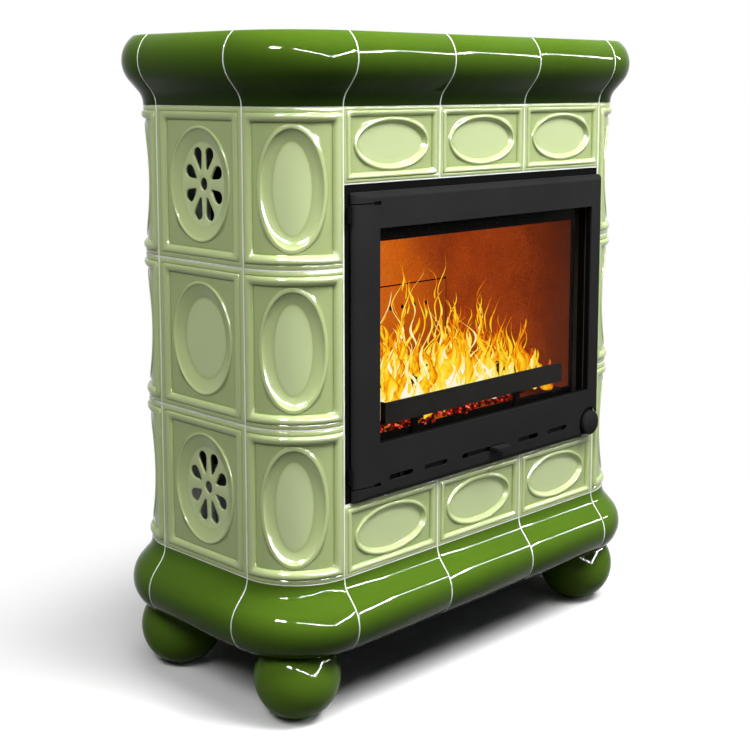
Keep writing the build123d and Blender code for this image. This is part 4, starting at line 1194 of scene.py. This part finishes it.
def makeRearPlate():
    look = rearPlateLook
    bm = bmesh.new()
    edges = rearPlateOutline(bm, look)
    filled = bmesh.ops.triangle_fill(bm, use_beauty=True, use_dissolve=False, edges=edges)
    faces = [item for item in filled["geom"] if isinstance(item, bmesh.types.BMFace)]
    grown = bmesh.ops.extrude_face_region(bm, geom=faces)
    fresh = [item for item in grown["geom"] if isinstance(item, bmesh.types.BMVert)]
    bmesh.ops.translate(bm, verts=fresh, vec=(0, look["back"] - look["front"], 0))
    # the front's upper and right edges are broken, and soot lies in those joints
    slip = look["slip"]
    ahead = [e for e in bm.edges if all(abs(v.co.y - look["front"]) < slip for v in e.verts)]
    broken = [e for e in ahead if all(v.co.z > look["high"] - slip for v in e.verts)
              or all(v.co.x > look["half"] - slip for v in e.verts)]
    bmesh.ops.bevel(bm, geom=broken, offset=look["edge"], segments=1, profile=0.5, affect="EDGES", material=1)
    line = look["half"] - look["edge"] - look["jointLine"]
    everything = bm.verts[:] + bm.edges[:] + bm.faces[:]
    bmesh.ops.bisect_plane(bm, geom=everything, plane_co=(line, 0, 0), plane_no=(1, 0, 0))
    bm.normal_update()
    for face in bm.faces:
        middle = face.calc_center_median()
        holeWall = abs(middle.z - look["holeLevel"]) < look["holeRadius"] and abs(face.normal.y) < 0.1
        if middle.x > line or holeWall:
            face.material_index = 1
    bmesh.ops.scale(bm, vec=(mm, mm, mm), verts=bm.verts)
    plate = keep(bm, "rearPlate", "stove", "firebrick", ["liner_rear_lower"], 30)
    plate.data.materials.append(finishes["soot"])
    print("rear plate")


# CAD nodes that stay, by the finish that they get
carried = {
    "jointMortar": ("joint_filler",),
    "boxSteel": (
        "base_plate", "fire_box", "front_frame", "hinge_brackets", "retainer_supports", "door_frame"),
    "blackSteel": ("top_plate", "log_retainer", "ash_pan_front", "air_shutter"),
    "sheetSteel": ("rear_panel", "corner_uprights", "insert_stand", "ash_pan", "glass_clips"),
    "pinSteel": ("latch_spindle",),
    "castIron": ("grate",),
    "floorBrick": ("liner_floor",),
    "firebrick": ("liner_left", "liner_right", "liner_rear_upper", "smoke_baffle"),
    "stoveGlass": ("door_glass",),
    "sealRope": ("glass_gasket", "door_seal"),
}
softNodes = ("front_frame", "log_retainer", "air_shutter", "door_frame", "hinge_brackets")


def dressCarried():
    for finish, names in carried.items():
        for name in names:
            slots = nodes[name].data.materials
            slots.clear()
            slots.append(finishes[finish])
    for name in softNodes:
        softened(nodes[name], 0.5, 60)
    print("carried nodes")


makeCornerTiles()
makeSideTiles()
makeStripTiles()
makeMouldings()
makeJoints()
makeFeet()
makeDoorCover()
makeKnob()
makeRearPlate()
makeLogs()
makeEmbers()
makeFlames()
dressCarried()


# The stage: a pale floor that keeps the shadow and fades into a white backdrop
stageLook = {
    "floor": 12.0, "bounce": "5a5a5a", "tones": ("f2f2f2", "f6f6f6"), "near": 0.4, "far": 0.92,
    "squeeze": (0.8, 1.15, 0.0), "sky": 0.03, "skyTone": (0.95, 0.97, 1.0, 1.0),
}
plainWhite = {"Color": (1, 1, 1, 1), "Strength": 1.0}


def whiteRays(finish):
    # rays that see the backdrop itself, straight, mirrored or through glass
    straight, mirrored, through = [
        finish.add("ShaderNodeLightPath", output=kind)
        for kind in ("Is Camera Ray", "Is Glossy Ray", "Is Transmission Ray")]
    return straight.joined("MAXIMUM", mirrored).joined("MAXIMUM", through)


def makeFloor():
    look = stageLook
    finish = Finish("paleFloor")
    seen = whiteRays(finish)
    cloud = finish.grain(finish.spot(), 3.0, 2.0)
    pale = finish.mixed(cloud, *[rgb(code) for code in look["tones"]])
    tone = finish.mixed(seen, rgb(look["bounce"]), pale)
    away = finish.away((0, 0, 0), look["squeeze"])
    span = {"Value": away, "From Min": look["near"], "From Max": look["far"]}
    fade = finish.add("ShaderNodeMapRange", span, interpolation_type="SMOOTHSTEP")
    plain = finish.add("ShaderNodeBsdfDiffuse", {"Color": tone})
    white = finish.add("ShaderNodeEmission", plainWhite)
    both = finish.add("ShaderNodeMixShader", {0: seen * fade, 1: plain, 2: white})
    finish.add("ShaderNodeOutputMaterial", {"Surface": both})
    bm = bmesh.new()
    bmesh.ops.create_circle(bm, cap_ends=True, segments=96, radius=look["floor"])
    bmesh.ops.recalc_face_normals(bm, faces=bm.faces)
    floor = placed("floor", meshFrom(bm, "floor"))
    floor.data.materials.append(finish.owner)


def makeWorld():
    finish = Finish("studio", "worlds")
    bpy.context.scene.world = finish.owner
    dim = {"Color": stageLook["skyTone"], "Strength": stageLook["sky"]}
    plain = finish.add("ShaderNodeBackground", dim)
    white = finish.add("ShaderNodeBackground", plainWhite)
    sky = finish.add("ShaderNodeMixShader", {0: whiteRays(finish), 1: plain, 2: white})
    finish.add("ShaderNodeOutputWorld", {"Surface": sky})


# Light
studioLook = {
    # soft lamps: place, what it faces, size, strength in W
    "lamps": {
        "keyBox": ((0.8, -2.1, 3.4), (0, 0, 0.55), (2.0, 1.4), 178.0),
        "topBox": ((-0.4, -1.0, 3.8), (0, 0, 0.5), (2.2, 1.8), 105.0),
        "leftBox": ((-2.7, -0.9, 3.1), (0, 0, 0.6), (1.5, 1.3), 80.0),
    },
    # narrow lamps that only the glaze mirrors: their two ends, width, brightness
    "strips": {
        "frontStrip": ((5.2, -5.8, 3.9), (11.2, -5.8, 3.9), 0.45, 260.0),
        "rightStrip": ((0.3, -8.5, 1.6), (5.2, -5.8, 3.9), 0.4, 1500.0),
        "leftStrip": ((-0.6, -8.1, 1.9), (-4.4, -4.0, 4.1), 0.25, 1300.0),
        "leftDash": ((-5.6, -3.0, 4.7), (-6.8, -2.0, 5.3), 0.7, 1600.0),
    },
    "stripAim": (-0.2, -0.1, 0.6),
}


def lamp(name, place, aim, size, power, lengthwise=None):
    light = bpy.data.lights.new(name, "AREA")
    light.shape = "RECTANGLE"
    light.size, light.size_y = size
    light.energy = power
    made = placed(name, light)
    back = (Vector(place) - Vector(aim)).normalized()
    if lengthwise is None:
        lengthwise = Vector((0, 0, 1)).cross(back)
    along = (lengthwise - back * lengthwise.dot(back)).normalized()
    turn = Matrix((along, back.cross(along), back)).transposed()
    made.matrix_world = Matrix.Translation(place) @ turn.to_4x4()
    made.visible_camera = False
    return made


def makeLight():
    for name, (place, aim, size, power) in studioLook["lamps"].items():
        lamp(name, place, aim, size, power).visible_glossy = False
    for name, (first, last, width, brightness) in studioLook["strips"].items():
        run = Vector(last) - Vector(first)
        middle = (Vector(first) + Vector(last)) / 2
        power = brightness * math.pi * run.length * width
        size = (run.length, width)
        lamp(name, middle, studioLook["stripAim"], size, power, run.normalized()).visible_diffuse = False


# Camera: angles in degrees, lengths of the picture in pixels
cameraLook = {
    "place": (-1.772, -1.735, 1.0185), "yaw": 44.924, "pitch": 7.477, "focal": 1358.58, "centre": 264.2,
    "frame": 750.0, "sensor": 36.0,
}


def makeCamera():
    look = cameraLook
    data = bpy.data.cameras.new("camera")
    data.sensor_width = look["sensor"]
    data.lens = look["focal"] / look["frame"] * look["sensor"]
    data.shift_y = look["centre"] / look["frame"] - 0.5
    camera = placed("camera", data)
    camera.location = look["place"]
    camera.rotation_euler = (math.radians(90 - look["pitch"]), 0, -math.radians(look["yaw"]))
    bpy.context.scene.camera = camera


makeFloor()
makeWorld()
makeLight()
makeCamera()
bpy.context.scene.view_settings.view_transform = "Standard"
print("stage, light and camera")
